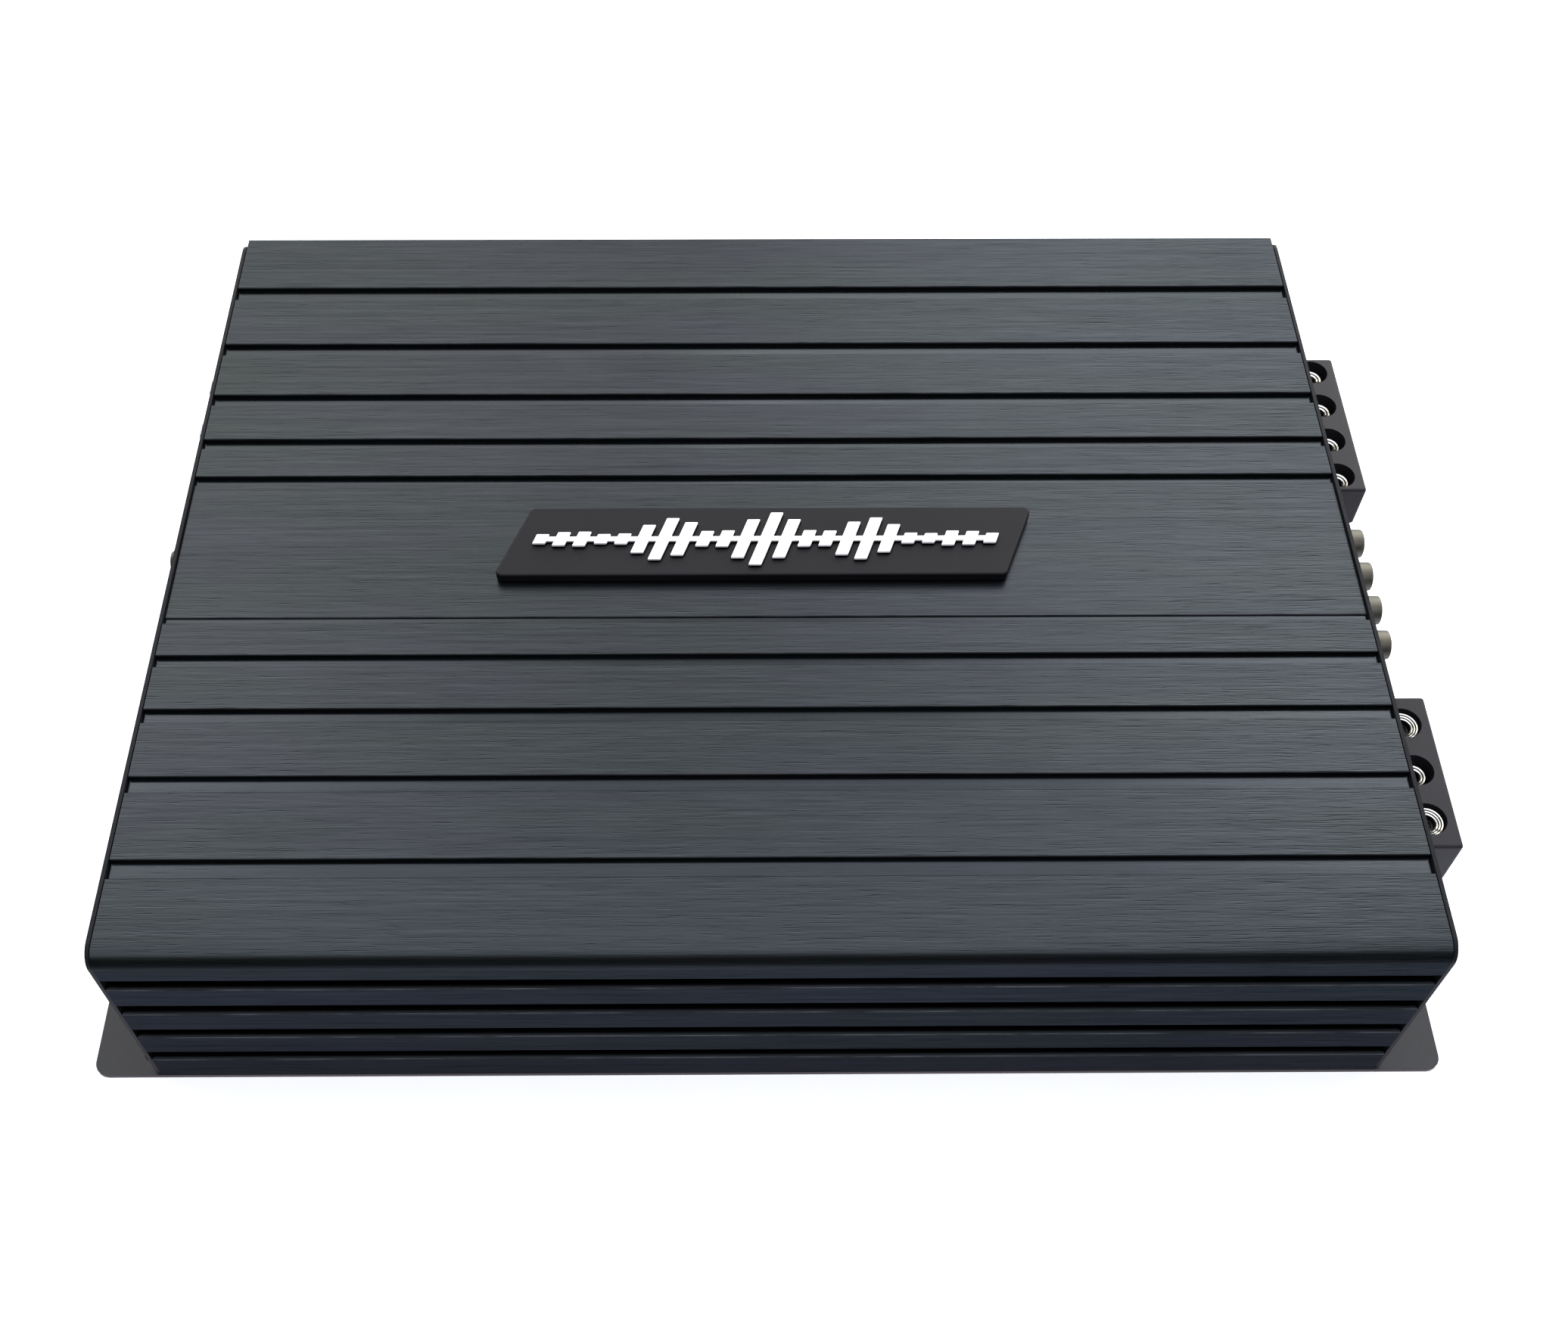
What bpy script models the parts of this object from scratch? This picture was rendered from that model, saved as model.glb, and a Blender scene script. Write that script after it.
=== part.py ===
"""Car audio amplifier: a ribbed aluminium heat sink, two end plates and a bottom plate with mounting ears.

Connections leave through the +X end, fuses and controls through the -X end, and the front faces -Y.
The origin is the centre of the mounting plane, under the bottom plate, with +Z up. Units are metres.
"""

import math

import bmesh
import bpy
from mathutils import Vector

MM = 0.001
GAP = 0.3 * MM  # between pieces that rest on each other

# Casing
OVERALL_LENGTH = 320 * MM  # over the two end plates
SINK_WIDTH = 246.4 * MM
SINK_HEIGHT = 66.5 * MM
FRONT_RADIUS, REAR_RADIUS = 5 * MM, 0.8 * MM  # of the top edges
SINK_WALL = 7 * MM
GROOVE_DEPTH = 1.5 * MM
GROOVE_CHAMFER = 0.25 * MM
END_PLATE_THICKNESS = 1 * MM
END_PLATE_INSET, END_PLATE_RADIUS = 0.4 * MM, 5 * MM
BOTTOM_PLATE_THICKNESS = 1.5 * MM
SINK_LENGTH = OVERALL_LENGTH - 2 * (END_PLATE_THICKNESS + GAP)
HALF_WIDTH = SINK_WIDTH / 2
SINK_Z = BOTTOM_PLATE_THICKNESS + GAP  # heat sink's lower edge
INNER_Y = HALF_WIDTH - SINK_WALL
OUTER_X = OVERALL_LENGTH / 2
PLATE_X = OUTER_X - END_PLATE_THICKNESS / 2
INNER_X = OUTER_X - END_PLATE_THICKNESS

# Top grooves: the centre panel is sunk a little, and lands and grooves widen towards the sides.
PANEL_HALF_WIDTH = 23.2 * MM
PANEL_RECESS = 1 * MM
FIRST_GROOVE = 2.3 * MM
LAND_COUNT = 4
LAND_WIDTH, LAND_GROWTH = 10.5 * MM, 2.83 * MM
GROOVE_WIDTH, GROOVE_GROWTH = 3.45 * MM, 0.5 * MM

# Side grooves
SIDE_GROOVES = 4
SIDE_GROOVE_Z, SIDE_GROOVE_PITCH, SIDE_GROOVE_WIDTH = 9.5 * MM, 13.8 * MM, 5.1 * MM
SIDE_GROOVE_DEPTH = 2 * MM

# Screw channels and the board's rails inside the extrusion
CHANNEL_RADIUS = 1.7 * MM
CHANNEL_Y = HALF_WIDTH - 11.5 * MM
LOWER_CHANNEL_Y = HALF_WIDTH - 4.2 * MM
CHANNEL_HEIGHTS = (5 * MM, SINK_HEIGHT - 11.5 * MM)
BOSS_SIZE = 9 * MM
FLANGE_WIDTH, FLANGE_HEIGHT = 14 * MM, 12 * MM
SLOT_Y, SLOT_WIDTH, SLOT_DEPTH = HALF_WIDTH - 10 * MM, 3.4 * MM, 9 * MM
BOARD_THICKNESS = 1.6 * MM
BOARD_TOP = SINK_Z + 19.3 * MM
RAIL_DEPTH, RAIL_THICKNESS = 5 * MM, 2 * MM

# Mounting ears
EAR_REACH, EAR_WIDTH, EAR_RADIUS = 16.7 * MM, 30 * MM, 3.8 * MM
EAR_HOLE_RADIUS = 2.75 * MM

# Fasteners
SCREW_RADIUS = 1.4 * MM
HEAD_RADIUS, HEAD_HEIGHT = 2.8 * MM, 1.8 * MM
SCREW_LENGTH = 9 * MM
BOTTOM_SCREW_X = 118 * MM

# Terminal blocks on the +X end: each has its poles, pitch, centre y, end margin, reach and height
SPEAKER_BLOCK = (4, 14.4 * MM, 73.7 * MM, 6 * MM, 22 * MM, 15.9 * MM)
POWER_BLOCK = (3, 15.1 * MM, -54.3 * MM, 8.6 * MM, 21 * MM, 18 * MM)
BLOCK_DEPTH_INSIDE = 14 * MM
BLOCK_Z = BOARD_TOP + GAP
BLOCK_ROUNDING = 0.9 * MM
WELL_INSET, WELL_RADIUS, WELL_FLOOR = 7.4 * MM, 4.7 * MM, 3.5 * MM
WIRE_ENTRY_RADIUS, WIRE_ENTRY_HEIGHT, WIRE_ENTRY_DEPTH = 3.9 * MM, 6 * MM, 13 * MM
TERMINAL_SCREW_LENGTH = 5 * MM
SPEAKER_SCREW = (3.6 * MM, 3.2 * MM)  # radius, drop below the block's top
POWER_SCREW = (4.3 * MM, 1.6 * MM)
REMOTE_SCREW = (3.4 * MM, 3 * MM)

# Signal jacks
JACK_COUNT, JACK_PITCH, JACK_Y, JACK_Z = 4, 12.3 * MM, 7.9 * MM, SINK_Z + 34.3 * MM
JACK_REACH, JACK_RADIUS, JACK_WALL = 16 * MM, 4.15 * MM, 0.6 * MM
JACK_BOSS_RADIUS, JACK_BOSS_REACH = 4.9 * MM, 3.5 * MM

# Fuses and controls on the -X end
FUSE_PITCH, FUSE_Y, FUSE_Z = 18 * MM, 76.3 * MM, SINK_Z + 31 * MM
FUSE_BODY = Vector((12.3, 5.1, 19.1)) * MM
FUSE_REACH = 10.8 * MM
BLADE = Vector((6.6, 0.8, 5.1)) * MM
BLADE_SPACING = 13.8 * MM
CONTROL_Z = SINK_Z + 32 * MM
GAIN_Y = 22.5 * MM
CONTROL_PITCH = 22 * MM
GAIN_KNOB = (4 * MM, 13.2 * MM)  # radius, reach
SMALL_KNOB = (3.4 * MM, 7 * MM)
SHAFT_RADIUS = 2 * MM
SHAFT_HOLE_RADIUS = 2.5 * MM
POT_BODY = Vector((9, 10, 11)) * MM
SWITCH_Y = -64 * MM
SWITCH_SLOT = (9 * MM, 3.2 * MM)
SWITCH_TRAVEL = 3 * MM
REMOTE_JACK_Y = -84 * MM
LED_Y, LED_PITCH, LED_RADIUS = -100 * MM, 9 * MM, 1.5 * MM

# Badge
BADGE_LENGTH, BADGE_WIDTH, BADGE_THICKNESS = 146 * MM, 23.5 * MM, 3 * MM
BADGE_SLANT, BADGE_RADIUS = 9 * MM, 1.6 * MM
EMBLEM_THICKNESS = 0.8 * MM
EMBLEM_LENGTH, EMBLEM_BARS = 127 * MM, 23
EMBLEM_SPINE, EMBLEM_SHORTEST, EMBLEM_TALLEST = 1.5 * MM, 3.2 * MM, 18 * MM
EMBLEM_SHEAR = 0.35

# Power stage
TRANSISTOR = Vector((10.2, 4.6, 15.5)) * MM
TRANSISTOR_COUNT, TRANSISTOR_PITCH = 6, 21 * MM
PAD_THICKNESS = 0.6 * MM
CLAMP_BAR = Vector((126, 3, 7)) * MM
TOROID = (17 * MM, 9 * MM, 22 * MM)  # ring radius, section half width, height
INDUCTOR = (10.5 * MM, 5.5 * MM, 14 * MM)
CAPACITOR_RADIUS, CAPACITOR_HEIGHT, CAPACITOR_COUNT = 11 * MM, 32 * MM, 3

X_AXIS_TURN = (0, math.pi / 2, 0)  # local +Z to +X
MINUS_X_AXIS_TURN = (0, -math.pi / 2, 0)
END_VIEW_TURN = (math.pi / 2, 0, math.pi / 2)  # a flat outline's x, y to Y, Z
parts = None
cutters = None


# Scene, materials and solids

def start_scene():
    """An empty scene with one collection for the amplifier and one for the cutters."""
    global parts, cutters
    for obj in list(bpy.data.objects):
        bpy.data.objects.remove(obj, do_unlink=True)
    parts = bpy.data.collections.new("car_amplifier")
    cutters = bpy.data.collections.new("cutters")
    for collection in (parts, cutters):
        bpy.context.scene.collection.children.link(collection)


def finish_of(name, colour, roughness, metallic=0.0):
    """A Principled material, made once for each name."""
    found = bpy.data.materials.get(name)
    if found:
        return found
    material = bpy.data.materials.new(name)
    material.use_nodes = True
    shader = material.node_tree.nodes["Principled BSDF"]
    shader.inputs["Base Color"].default_value = (*colour, 1)
    shader.inputs["Roughness"].default_value = roughness
    shader.inputs["Metallic"].default_value = metallic
    return material


def anodised():
    return finish_of("black_anodised", (0.075, 0.08, 0.085), 0.42, 0.8)


def sheet_steel():
    return finish_of("black_sheet_steel", (0.05, 0.05, 0.055), 0.5, 0.3)


def black_plastic():
    return finish_of("black_plastic", (0.03, 0.03, 0.033), 0.45)


def bright_metal():
    return finish_of("nickel", (0.75, 0.7, 0.58), 0.25, 1.0)


def screw_steel():
    return finish_of("black_screw_steel", (0.04, 0.04, 0.04), 0.35, 0.9)


def place(obj, name, material, collection=None):
    """Names an object, gives it its material and moves it to one collection."""
    obj.name = name
    obj.data.materials.clear()
    obj.data.materials.append(material)
    for other in list(obj.users_collection):
        other.objects.unlink(obj)
    (collection or parts).objects.link(obj)
    return obj


def hide_as_cutter(obj):
    for other in list(obj.users_collection):
        other.objects.unlink(obj)
    cutters.objects.link(obj)
    obj.hide_render = True
    obj.display_type = "WIRE"
    return obj


def box(size, centre):
    """A box mesh object of full side lengths, with its scale applied."""
    mesh = bpy.data.meshes.new("box")
    shape = bmesh.new()
    bmesh.ops.create_cube(shape, size=1)
    bmesh.ops.scale(shape, vec=size, verts=shape.verts)
    shape.to_mesh(mesh)
    shape.free()
    obj = bpy.data.objects.new("box", mesh)
    obj.location = centre
    parts.objects.link(obj)
    return obj


def rod(radius, length, centre, turn=(0, 0, 0), segments=24, end_radius=None):
    """A round or tapered rod along its own Z; end_radius is the radius at the +Z end."""
    mesh = bpy.data.meshes.new("rod")
    shape = bmesh.new()
    bmesh.ops.create_cone(
        shape,
        cap_ends=True,
        segments=segments,
        radius1=radius,
        radius2=radius if end_radius is None else end_radius,
        depth=length,
    )
    shape.to_mesh(mesh)
    shape.free()
    obj = bpy.data.objects.new("rod", mesh)
    obj.location = centre
    obj.rotation_euler = turn
    parts.objects.link(obj)
    return obj


def arc(centre, radius, first, last, steps):
    """Points on an arc between two angles in degrees, both ends included."""
    angles = [math.radians(first + (last - first) * i / steps) for i in range(steps + 1)]
    return [(centre[0] + radius * math.cos(a), centre[1] + radius * math.sin(a)) for a in angles]


def circle(centre, radius, segments=20):
    return arc(centre, radius, 0, 360 * (1 - 1 / segments), segments - 1)


def rectangle(centre, size):
    half_x, half_y = size[0] / 2, size[1] / 2
    corners = ((-half_x, -half_y), (half_x, -half_y), (half_x, half_y), (-half_x, half_y))
    return [(centre[0] + x, centre[1] + y) for x, y in corners]


def rounded(corners, radius, steps=5):
    """A closed outline of corners, counter-clockwise, with each corner turned into an arc."""
    outline = []
    for i, corner in enumerate(corners):
        here = Vector(corner)
        back = (Vector(corners[i - 1]) - here).normalized()
        ahead = (Vector(corners[(i + 1) % len(corners)]) - here).normalized()
        half_angle = back.angle(ahead) / 2
        centre = here + (back + ahead).normalized() * radius / math.sin(half_angle)
        start = here + back * radius / math.tan(half_angle)
        end = here + ahead * radius / math.tan(half_angle)
        first = math.atan2(start.y - centre.y, start.x - centre.x)
        last = math.atan2(end.y - centre.y, end.x - centre.x)
        while last - first > math.pi:
            last -= 2 * math.pi
        while last - first < -math.pi:
            last += 2 * math.pi
        outline += arc(centre, radius, math.degrees(first), math.degrees(last), steps)
    return outline


def flat(outlines, thickness, centre, turn=(0, 0, 0)):
    """A sheet from closed outlines, the first outside and any others holes, centred on its thickness."""
    curve = bpy.data.curves.new("flat", "CURVE")
    curve.dimensions = "2D"
    curve.fill_mode = "BOTH"
    curve.extrude = thickness / 2
    for outline in outlines:
        spline = curve.splines.new("POLY")
        spline.points.add(len(outline) - 1)
        for point, (x, y) in zip(spline.points, outline):
            point.co = (x, y, 0, 1)
        spline.use_cyclic_u = True
    obj = bpy.data.objects.new("flat", curve)
    obj.location = centre
    obj.rotation_euler = turn
    parts.objects.link(obj)
    return obj


def turned(profile, segments=24, closed=False):
    """A solid turned about its own Z from (radius, height) points that run down its outer side."""
    mesh = bpy.data.meshes.new("turned")
    edges = [(i, i + 1) for i in range(len(profile) - 1)]
    if closed:
        edges.append((len(profile) - 1, 0))
    mesh.from_pydata([(r, 0, z) for r, z in profile], edges, [])
    obj = bpy.data.objects.new("turned", mesh)
    parts.objects.link(obj)
    screw = obj.modifiers.new("turn", "SCREW")
    screw.steps = screw.render_steps = segments
    screw.use_merge_vertices = True
    screw.merge_threshold = 0.01 * MM
    screw.use_smooth_shade = False
    return obj


def combined(obj, other, operation, solver="EXACT"):
    """Joins to, or cuts from, obj with a Boolean modifier; the other shape stays as a hidden helper."""
    hide_as_cutter(other)
    modifier = obj.modifiers.new(operation.lower(), "BOOLEAN")
    modifier.operation = operation
    modifier.object = other
    modifier.solver = solver
    return obj


def baked(obj, shade_angle=35):
    """The object's evaluated shape as one plain welded mesh in a new object at the same place."""
    bpy.context.view_layer.update()
    graph = bpy.context.evaluated_depsgraph_get()
    mesh = bpy.data.meshes.new_from_object(obj.evaluated_get(graph))
    shape = bmesh.new()
    shape.from_mesh(mesh)
    bmesh.ops.remove_doubles(shape, verts=shape.verts, dist=0.001 * MM)
    bmesh.ops.recalc_face_normals(shape, faces=shape.faces)
    shape.to_mesh(mesh)
    shape.free()
    mesh.shade_smooth()
    mesh.set_sharp_from_angle(angle=math.radians(shade_angle))
    solid = bpy.data.objects.new("baked", mesh)
    solid.matrix_world = obj.matrix_world.copy()
    parts.objects.link(solid)
    bpy.data.objects.remove(obj, do_unlink=True)
    return solid


def copies(mesh, name, material, places, turn=(0, 0, 0)):
    """One object for each place, all sharing a mesh, named name_1, name_2 and so on."""
    made = []
    for number, centre in enumerate(places, 1):
        obj = bpy.data.objects.new(name, mesh)
        parts.objects.link(obj)
        obj.location = centre
        obj.rotation_euler = turn
        made.append(place(obj, f"{name}_{number}", material))
    return made


# Heat sink

def groove_edges():
    """(inner, outer) y of each top groove on the +Y side."""
    edges = [(PANEL_HALF_WIDTH, PANEL_HALF_WIDTH + FIRST_GROOVE)]
    for i in range(LAND_COUNT):
        start = edges[-1][1] + LAND_WIDTH + LAND_GROWTH * i
        edges.append((start, start + GROOVE_WIDTH + GROOVE_GROWTH * i))
    return edges


def sink_half_profile(radius):
    """Half of the extrusion's outline, from the top centre round to the ceiling; radius is its top edge's."""
    top, floor = SINK_HEIGHT, SINK_HEIGHT - GROOVE_DEPTH
    points = []
    level, edge = top - PANEL_RECESS, GROOVE_CHAMFER
    for inner, outer in groove_edges():
        points += [(inner - edge, level), (inner, level - edge), (inner, floor)]
        points += [(outer, floor), (outer, top - edge), (outer + edge, top)]
        level = top
    points += arc((HALF_WIDTH - radius, top - radius), radius, 90, 0, 8 if radius > 1 * MM else 3)
    for i in reversed(range(SIDE_GROOVES)):
        low = SIDE_GROOVE_Z + SIDE_GROOVE_PITCH * i
        high = low + SIDE_GROOVE_WIDTH
        deep = HALF_WIDTH - SIDE_GROOVE_DEPTH
        points += [(HALF_WIDTH, high + edge), (HALF_WIDTH - edge, high), (deep, high)]
        points += [(deep, low), (HALF_WIDTH - edge, low), (HALF_WIDTH, low - edge)]
    slot_in, slot_out = SLOT_Y - SLOT_WIDTH / 2, SLOT_Y + SLOT_WIDTH / 2
    flange_y = HALF_WIDTH - FLANGE_WIDTH
    points += [(HALF_WIDTH, 0), (slot_out, 0), (slot_out, SLOT_DEPTH), (slot_in, SLOT_DEPTH), (slot_in, 0)]
    points += [(flange_y, 0), (flange_y, FLANGE_HEIGHT), (INNER_Y, FLANGE_HEIGHT)]
    board_top = BOARD_TOP - SINK_Z + GAP
    board_low = board_top - BOARD_THICKNESS - 2 * GAP
    for low, high, depth in (
        (board_low - RAIL_THICKNESS, board_low, RAIL_DEPTH),
        (board_top, board_top + RAIL_THICKNESS / 2, RAIL_DEPTH / 2),
    ):
        points += [(INNER_Y, low), (INNER_Y - depth, low), (INNER_Y - depth, high), (INNER_Y, high)]
    ceiling = SINK_HEIGHT - SINK_WALL
    points += [(INNER_Y, ceiling - BOSS_SIZE), (INNER_Y - BOSS_SIZE, ceiling - BOSS_SIZE)]
    points += [(INNER_Y - BOSS_SIZE, ceiling)]
    return points


def channel_places():
    """(y, z above the sink's lower edge) of the four end-plate screws."""
    low, high = CHANNEL_HEIGHTS
    return [(side * y, z) for side in (1, -1) for y, z in ((LOWER_CHANNEL_Y, low), (CHANNEL_Y, high))]


def make_heat_sink():
    front = [(-y, z) for y, z in reversed(sink_half_profile(FRONT_RADIUS))]
    outline = sink_half_profile(REAR_RADIUS) + front
    holes = [circle(centre, CHANNEL_RADIUS, 16) for centre in channel_places()]
    sink = flat([outline] + holes, SINK_LENGTH, (0, 0, SINK_Z), END_VIEW_TURN)
    place(sink, "heat_sink", anodised())


# Plates

def ear_outline():
    """The bottom plate's outline: a rectangle with an ear with rounded tips at each corner."""
    reach, width = OUTER_X + EAR_REACH, HALF_WIDTH
    notch = width - EAR_WIDTH
    tip = reach - EAR_RADIUS
    ear = arc((tip, -width + EAR_RADIUS), EAR_RADIUS, -90, 0, 5)
    ear += arc((tip, -notch - EAR_RADIUS), EAR_RADIUS, 0, 90, 5)
    ear.append((OUTER_X, -notch))
    side = ear + [(x, -y) for x, y in reversed(ear)]
    return side + [(-x, y) for x, y in reversed(side)]


def ear_hole_places():
    x, y = OUTER_X + EAR_REACH / 2, HALF_WIDTH - EAR_WIDTH / 2
    return [(sx * x, sy * y) for sx in (1, -1) for sy in (1, -1)]


def bottom_screw_places():
    return [(sx * BOTTOM_SCREW_X, sy * SLOT_Y) for sx in (1, -1) for sy in (1, -1)]


def make_bottom_plate():
    holes = [circle(centre, EAR_HOLE_RADIUS) for centre in ear_hole_places()]
    plate = flat([ear_outline()] + holes, BOTTOM_PLATE_THICKNESS, (0, 0, BOTTOM_PLATE_THICKNESS / 2))
    plate = baked(plate)
    place(plate, "bottom_plate", sheet_steel())
    depth = BOTTOM_PLATE_THICKNESS
    for x, y in bottom_screw_places():
        mouth = HEAD_RADIUS + 2 * GAP
        sink = rod(mouth + depth, 3 * depth, (x, y, depth / 2), end_radius=mouth - 2 * depth)
        combined(plate, sink, "DIFFERENCE", "MANIFOLD")


def end_plate_outline():
    """The end plate's outline in Y and height above the sink's lower edge."""
    radius, edge = END_PLATE_RADIUS, HALF_WIDTH - END_PLATE_INSET
    side = [(edge, 0)] + arc((edge - radius, SINK_HEIGHT - radius), radius, 0, 90, 6)
    return side + [(-y, z) for y, z in reversed(side)]


def screw_holes():
    return [circle(centre, CHANNEL_RADIUS, 16) for centre in channel_places()]


def window(y, z, size):
    """A rectangular opening given by its world centre and its (Y, Z) size."""
    return rectangle((y, z - SINK_Z), size)


def block_window(block):
    poles, pitch, y, margin, _, height = block
    width = pitch * (poles - 1) + 2 * margin
    return window(y, BLOCK_Z + height / 2, (width + 2 * GAP, height + 2 * GAP))


def make_end_plates():
    jack_holes = [circle((y, JACK_Z - SINK_Z), JACK_BOSS_RADIUS + GAP, 24) for y in jack_places()]
    terminals = [block_window(SPEAKER_BLOCK), block_window(POWER_BLOCK)]
    outlines = [end_plate_outline()] + screw_holes() + jack_holes + terminals
    plate = flat(outlines, END_PLATE_THICKNESS, (PLATE_X, 0, SINK_Z), END_VIEW_TURN)
    place(plate, "connector_end_plate", sheet_steel())

    shafts = [circle((y, CONTROL_Z - SINK_Z), SHAFT_HOLE_RADIUS + GAP) for y in control_places()]
    fuses = [
        window(y, FUSE_Z, (FUSE_BODY.y + 4 * GAP, FUSE_BODY.z + 4 * GAP)) for y in fuse_places()
    ]
    leds = [circle((y, CONTROL_Z - SINK_Z), LED_RADIUS + GAP, 16) for y in led_places()]
    slots = [
        window(SWITCH_Y, CONTROL_Z, SWITCH_SLOT),
        window(REMOTE_JACK_Y, CONTROL_Z, (12 * MM, 12 * MM)),
    ]
    outlines = [end_plate_outline()] + screw_holes() + shafts + fuses + leds + slots
    plate = flat(outlines, END_PLATE_THICKNESS, (-PLATE_X, 0, SINK_Z), END_VIEW_TURN)
    place(plate, "control_end_plate", sheet_steel())


# Fasteners

def socket(radius, depth, top):
    """A six-sided cutter for a screw's socket, down from height top."""
    return rod(radius, 2 * depth, (0, 0, top), segments=6)


def make_casing_screws():
    shank = [(SCREW_RADIUS, 0), (SCREW_RADIUS, -SCREW_LENGTH), (0, -SCREW_LENGTH)]
    dome = [(0, HEAD_HEIGHT), (HEAD_RADIUS * 0.6, HEAD_HEIGHT), (HEAD_RADIUS, HEAD_HEIGHT * 0.4)]
    head = turned(dome + [(HEAD_RADIUS, 0)] + shank, segments=16)
    screw = baked(combined(head, socket(1.2 * MM, 1 * MM, HEAD_HEIGHT), "DIFFERENCE"))
    reach = OUTER_X + GAP
    for side, turn, name in (
        (1, X_AXIS_TURN, "connector_plate_screw"),
        (-1, MINUS_X_AXIS_TURN, "control_plate_screw"),
    ):
        places = [(side * reach, y, SINK_Z + z) for y, z in channel_places()]
        copies(screw.data, name, screw_steel(), places, turn)
    bpy.data.objects.remove(screw)

    flush = 0.2 * MM
    depth = BOTTOM_PLATE_THICKNESS - flush
    cone = [(0, 0), (HEAD_RADIUS, 0), (SCREW_RADIUS, -depth), (SCREW_RADIUS, -7.5 * MM), (0, -7.5 * MM)]
    screw = baked(combined(turned(cone, segments=16), socket(1.1 * MM, 0.9 * MM, 0), "DIFFERENCE"))
    places = [(x, y, flush) for x, y in bottom_screw_places()]
    copies(screw.data, "bottom_screw", screw_steel(), places, (math.pi, 0, 0))
    bpy.data.objects.remove(screw)


# Terminal blocks

def pole_places(y, poles, pitch):
    """Y of each pole, from the far end to the near end."""
    return [y + pitch * ((poles - 1) / 2 - i) for i in range(poles)]


def make_terminal_block(name, block):
    """A moulded block with a screw well and a round wire entry for each pole."""
    poles, pitch, y, margin, reach, height = block
    length = reach + BLOCK_DEPTH_INSIDE
    width = pitch * (poles - 1) + 2 * margin
    face_x = OUTER_X + reach
    body = box((length, width, height), (face_x - length / 2, y, BLOCK_Z + height / 2))
    edge = body.modifiers.new("edges", "BEVEL")
    edge.width = BLOCK_ROUNDING
    edge.segments = 2
    body = baked(body)
    well_depth = height - WELL_FLOOR
    for pole_y in pole_places(y, poles, pitch):
        well = rod(WELL_RADIUS, 2 * well_depth, (face_x - WELL_INSET, pole_y, BLOCK_Z + height), segments=28)
        combined(body, well, "DIFFERENCE")
        entry_at = (face_x, pole_y, BLOCK_Z + WIRE_ENTRY_HEIGHT)
        entry = rod(WIRE_ENTRY_RADIUS, 2 * WIRE_ENTRY_DEPTH, entry_at, X_AXIS_TURN, 20)
        combined(body, entry, "DIFFERENCE")
    place(body, name, black_plastic())


def make_terminal_screw(name, block, pole_y, screw):
    """A clamp screw with a bevelled top and a six-sided socket; its origin is its top centre."""
    _, _, _, _, reach, height = block
    radius, drop = screw
    bevel, foot, length = 0.5 * MM, 0.75 * radius, TERMINAL_SCREW_LENGTH
    profile = [(0, 0), (radius - bevel, 0), (radius, -bevel), (radius, bevel - length)]
    profile += [(foot, -length), (0, -length)]
    key_socket = socket(0.5 * radius, 2.4 * MM, 0)
    made = baked(combined(turned(profile, segments=20), key_socket, "DIFFERENCE"))
    made.location = (OUTER_X + reach - WELL_INSET, pole_y, BLOCK_Z + height - drop)
    place(made, name, bright_metal())


def make_terminals():
    make_terminal_block("speaker_terminal_block", SPEAKER_BLOCK)
    make_terminal_block("power_terminal_block", POWER_BLOCK)
    poles, pitch, y, _, _, _ = SPEAKER_BLOCK
    for number, pole_y in enumerate(pole_places(y, poles, pitch), 1):
        make_terminal_screw(f"speaker_screw_{number}", SPEAKER_BLOCK, pole_y, SPEAKER_SCREW)
    poles, pitch, y, _, _, _ = POWER_BLOCK
    names = ("battery_screw", "remote_screw", "ground_screw")
    for name, pole_y in zip(names, pole_places(y, poles, pitch)):
        screw = REMOTE_SCREW if name == "remote_screw" else POWER_SCREW
        make_terminal_screw(name, POWER_BLOCK, pole_y, screw)


# Signal jacks

def jack_places():
    return pole_places(JACK_Y, JACK_COUNT, JACK_PITCH)


def make_jacks():
    """A moulded base on the board, with a boss through the end plate and a metal shell for each jack."""
    depth = 11 * MM
    height = JACK_Z + 6 * MM - BLOCK_Z
    width = JACK_PITCH * (JACK_COUNT - 1) + 12 * MM
    front = INNER_X - GAP
    base = box((depth, width, height), (front - depth / 2, JACK_Y, BLOCK_Z + height / 2))
    for y in jack_places():
        length = OUTER_X + JACK_BOSS_REACH - front + 2 * MM
        boss = rod(JACK_BOSS_RADIUS, length, (OUTER_X + JACK_BOSS_REACH - length / 2, y, JACK_Z), X_AXIS_TURN)
        combined(base, boss, "UNION")
    place(base, "jack_base", black_plastic())

    start = JACK_BOSS_REACH + GAP
    inside = JACK_RADIUS - JACK_WALL
    pin, bore = 1.9 * MM, 1.2 * MM
    floor, lip = start + 1.5 * MM, 0.4 * MM
    profile = [
        (0, floor + 1 * MM),
        (bore, floor + 1 * MM),
        (bore, JACK_REACH - 5 * MM),
        (pin, JACK_REACH - 5 * MM),
        (pin, floor),
        (inside, floor),
        (inside, JACK_REACH - lip),
        (inside + lip / 2, JACK_REACH),
        (JACK_RADIUS - lip / 2, JACK_REACH),
        (JACK_RADIUS, JACK_REACH - lip),
        (JACK_RADIUS, start),
        (0, start),
    ]
    shell = baked(turned(profile, segments=28))
    places = [(OUTER_X, y, JACK_Z) for y in jack_places()]
    copies(shell.data, "jack_shell", bright_metal(), places, X_AXIS_TURN)
    bpy.data.objects.remove(shell)


# Fuses

def fuse_places():
    return [FUSE_Y + FUSE_PITCH / 2, FUSE_Y - FUSE_PITCH / 2]


def blade_places():
    return [FUSE_Z + side * BLADE_SPACING / 2 for side in (1, -1)]


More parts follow.
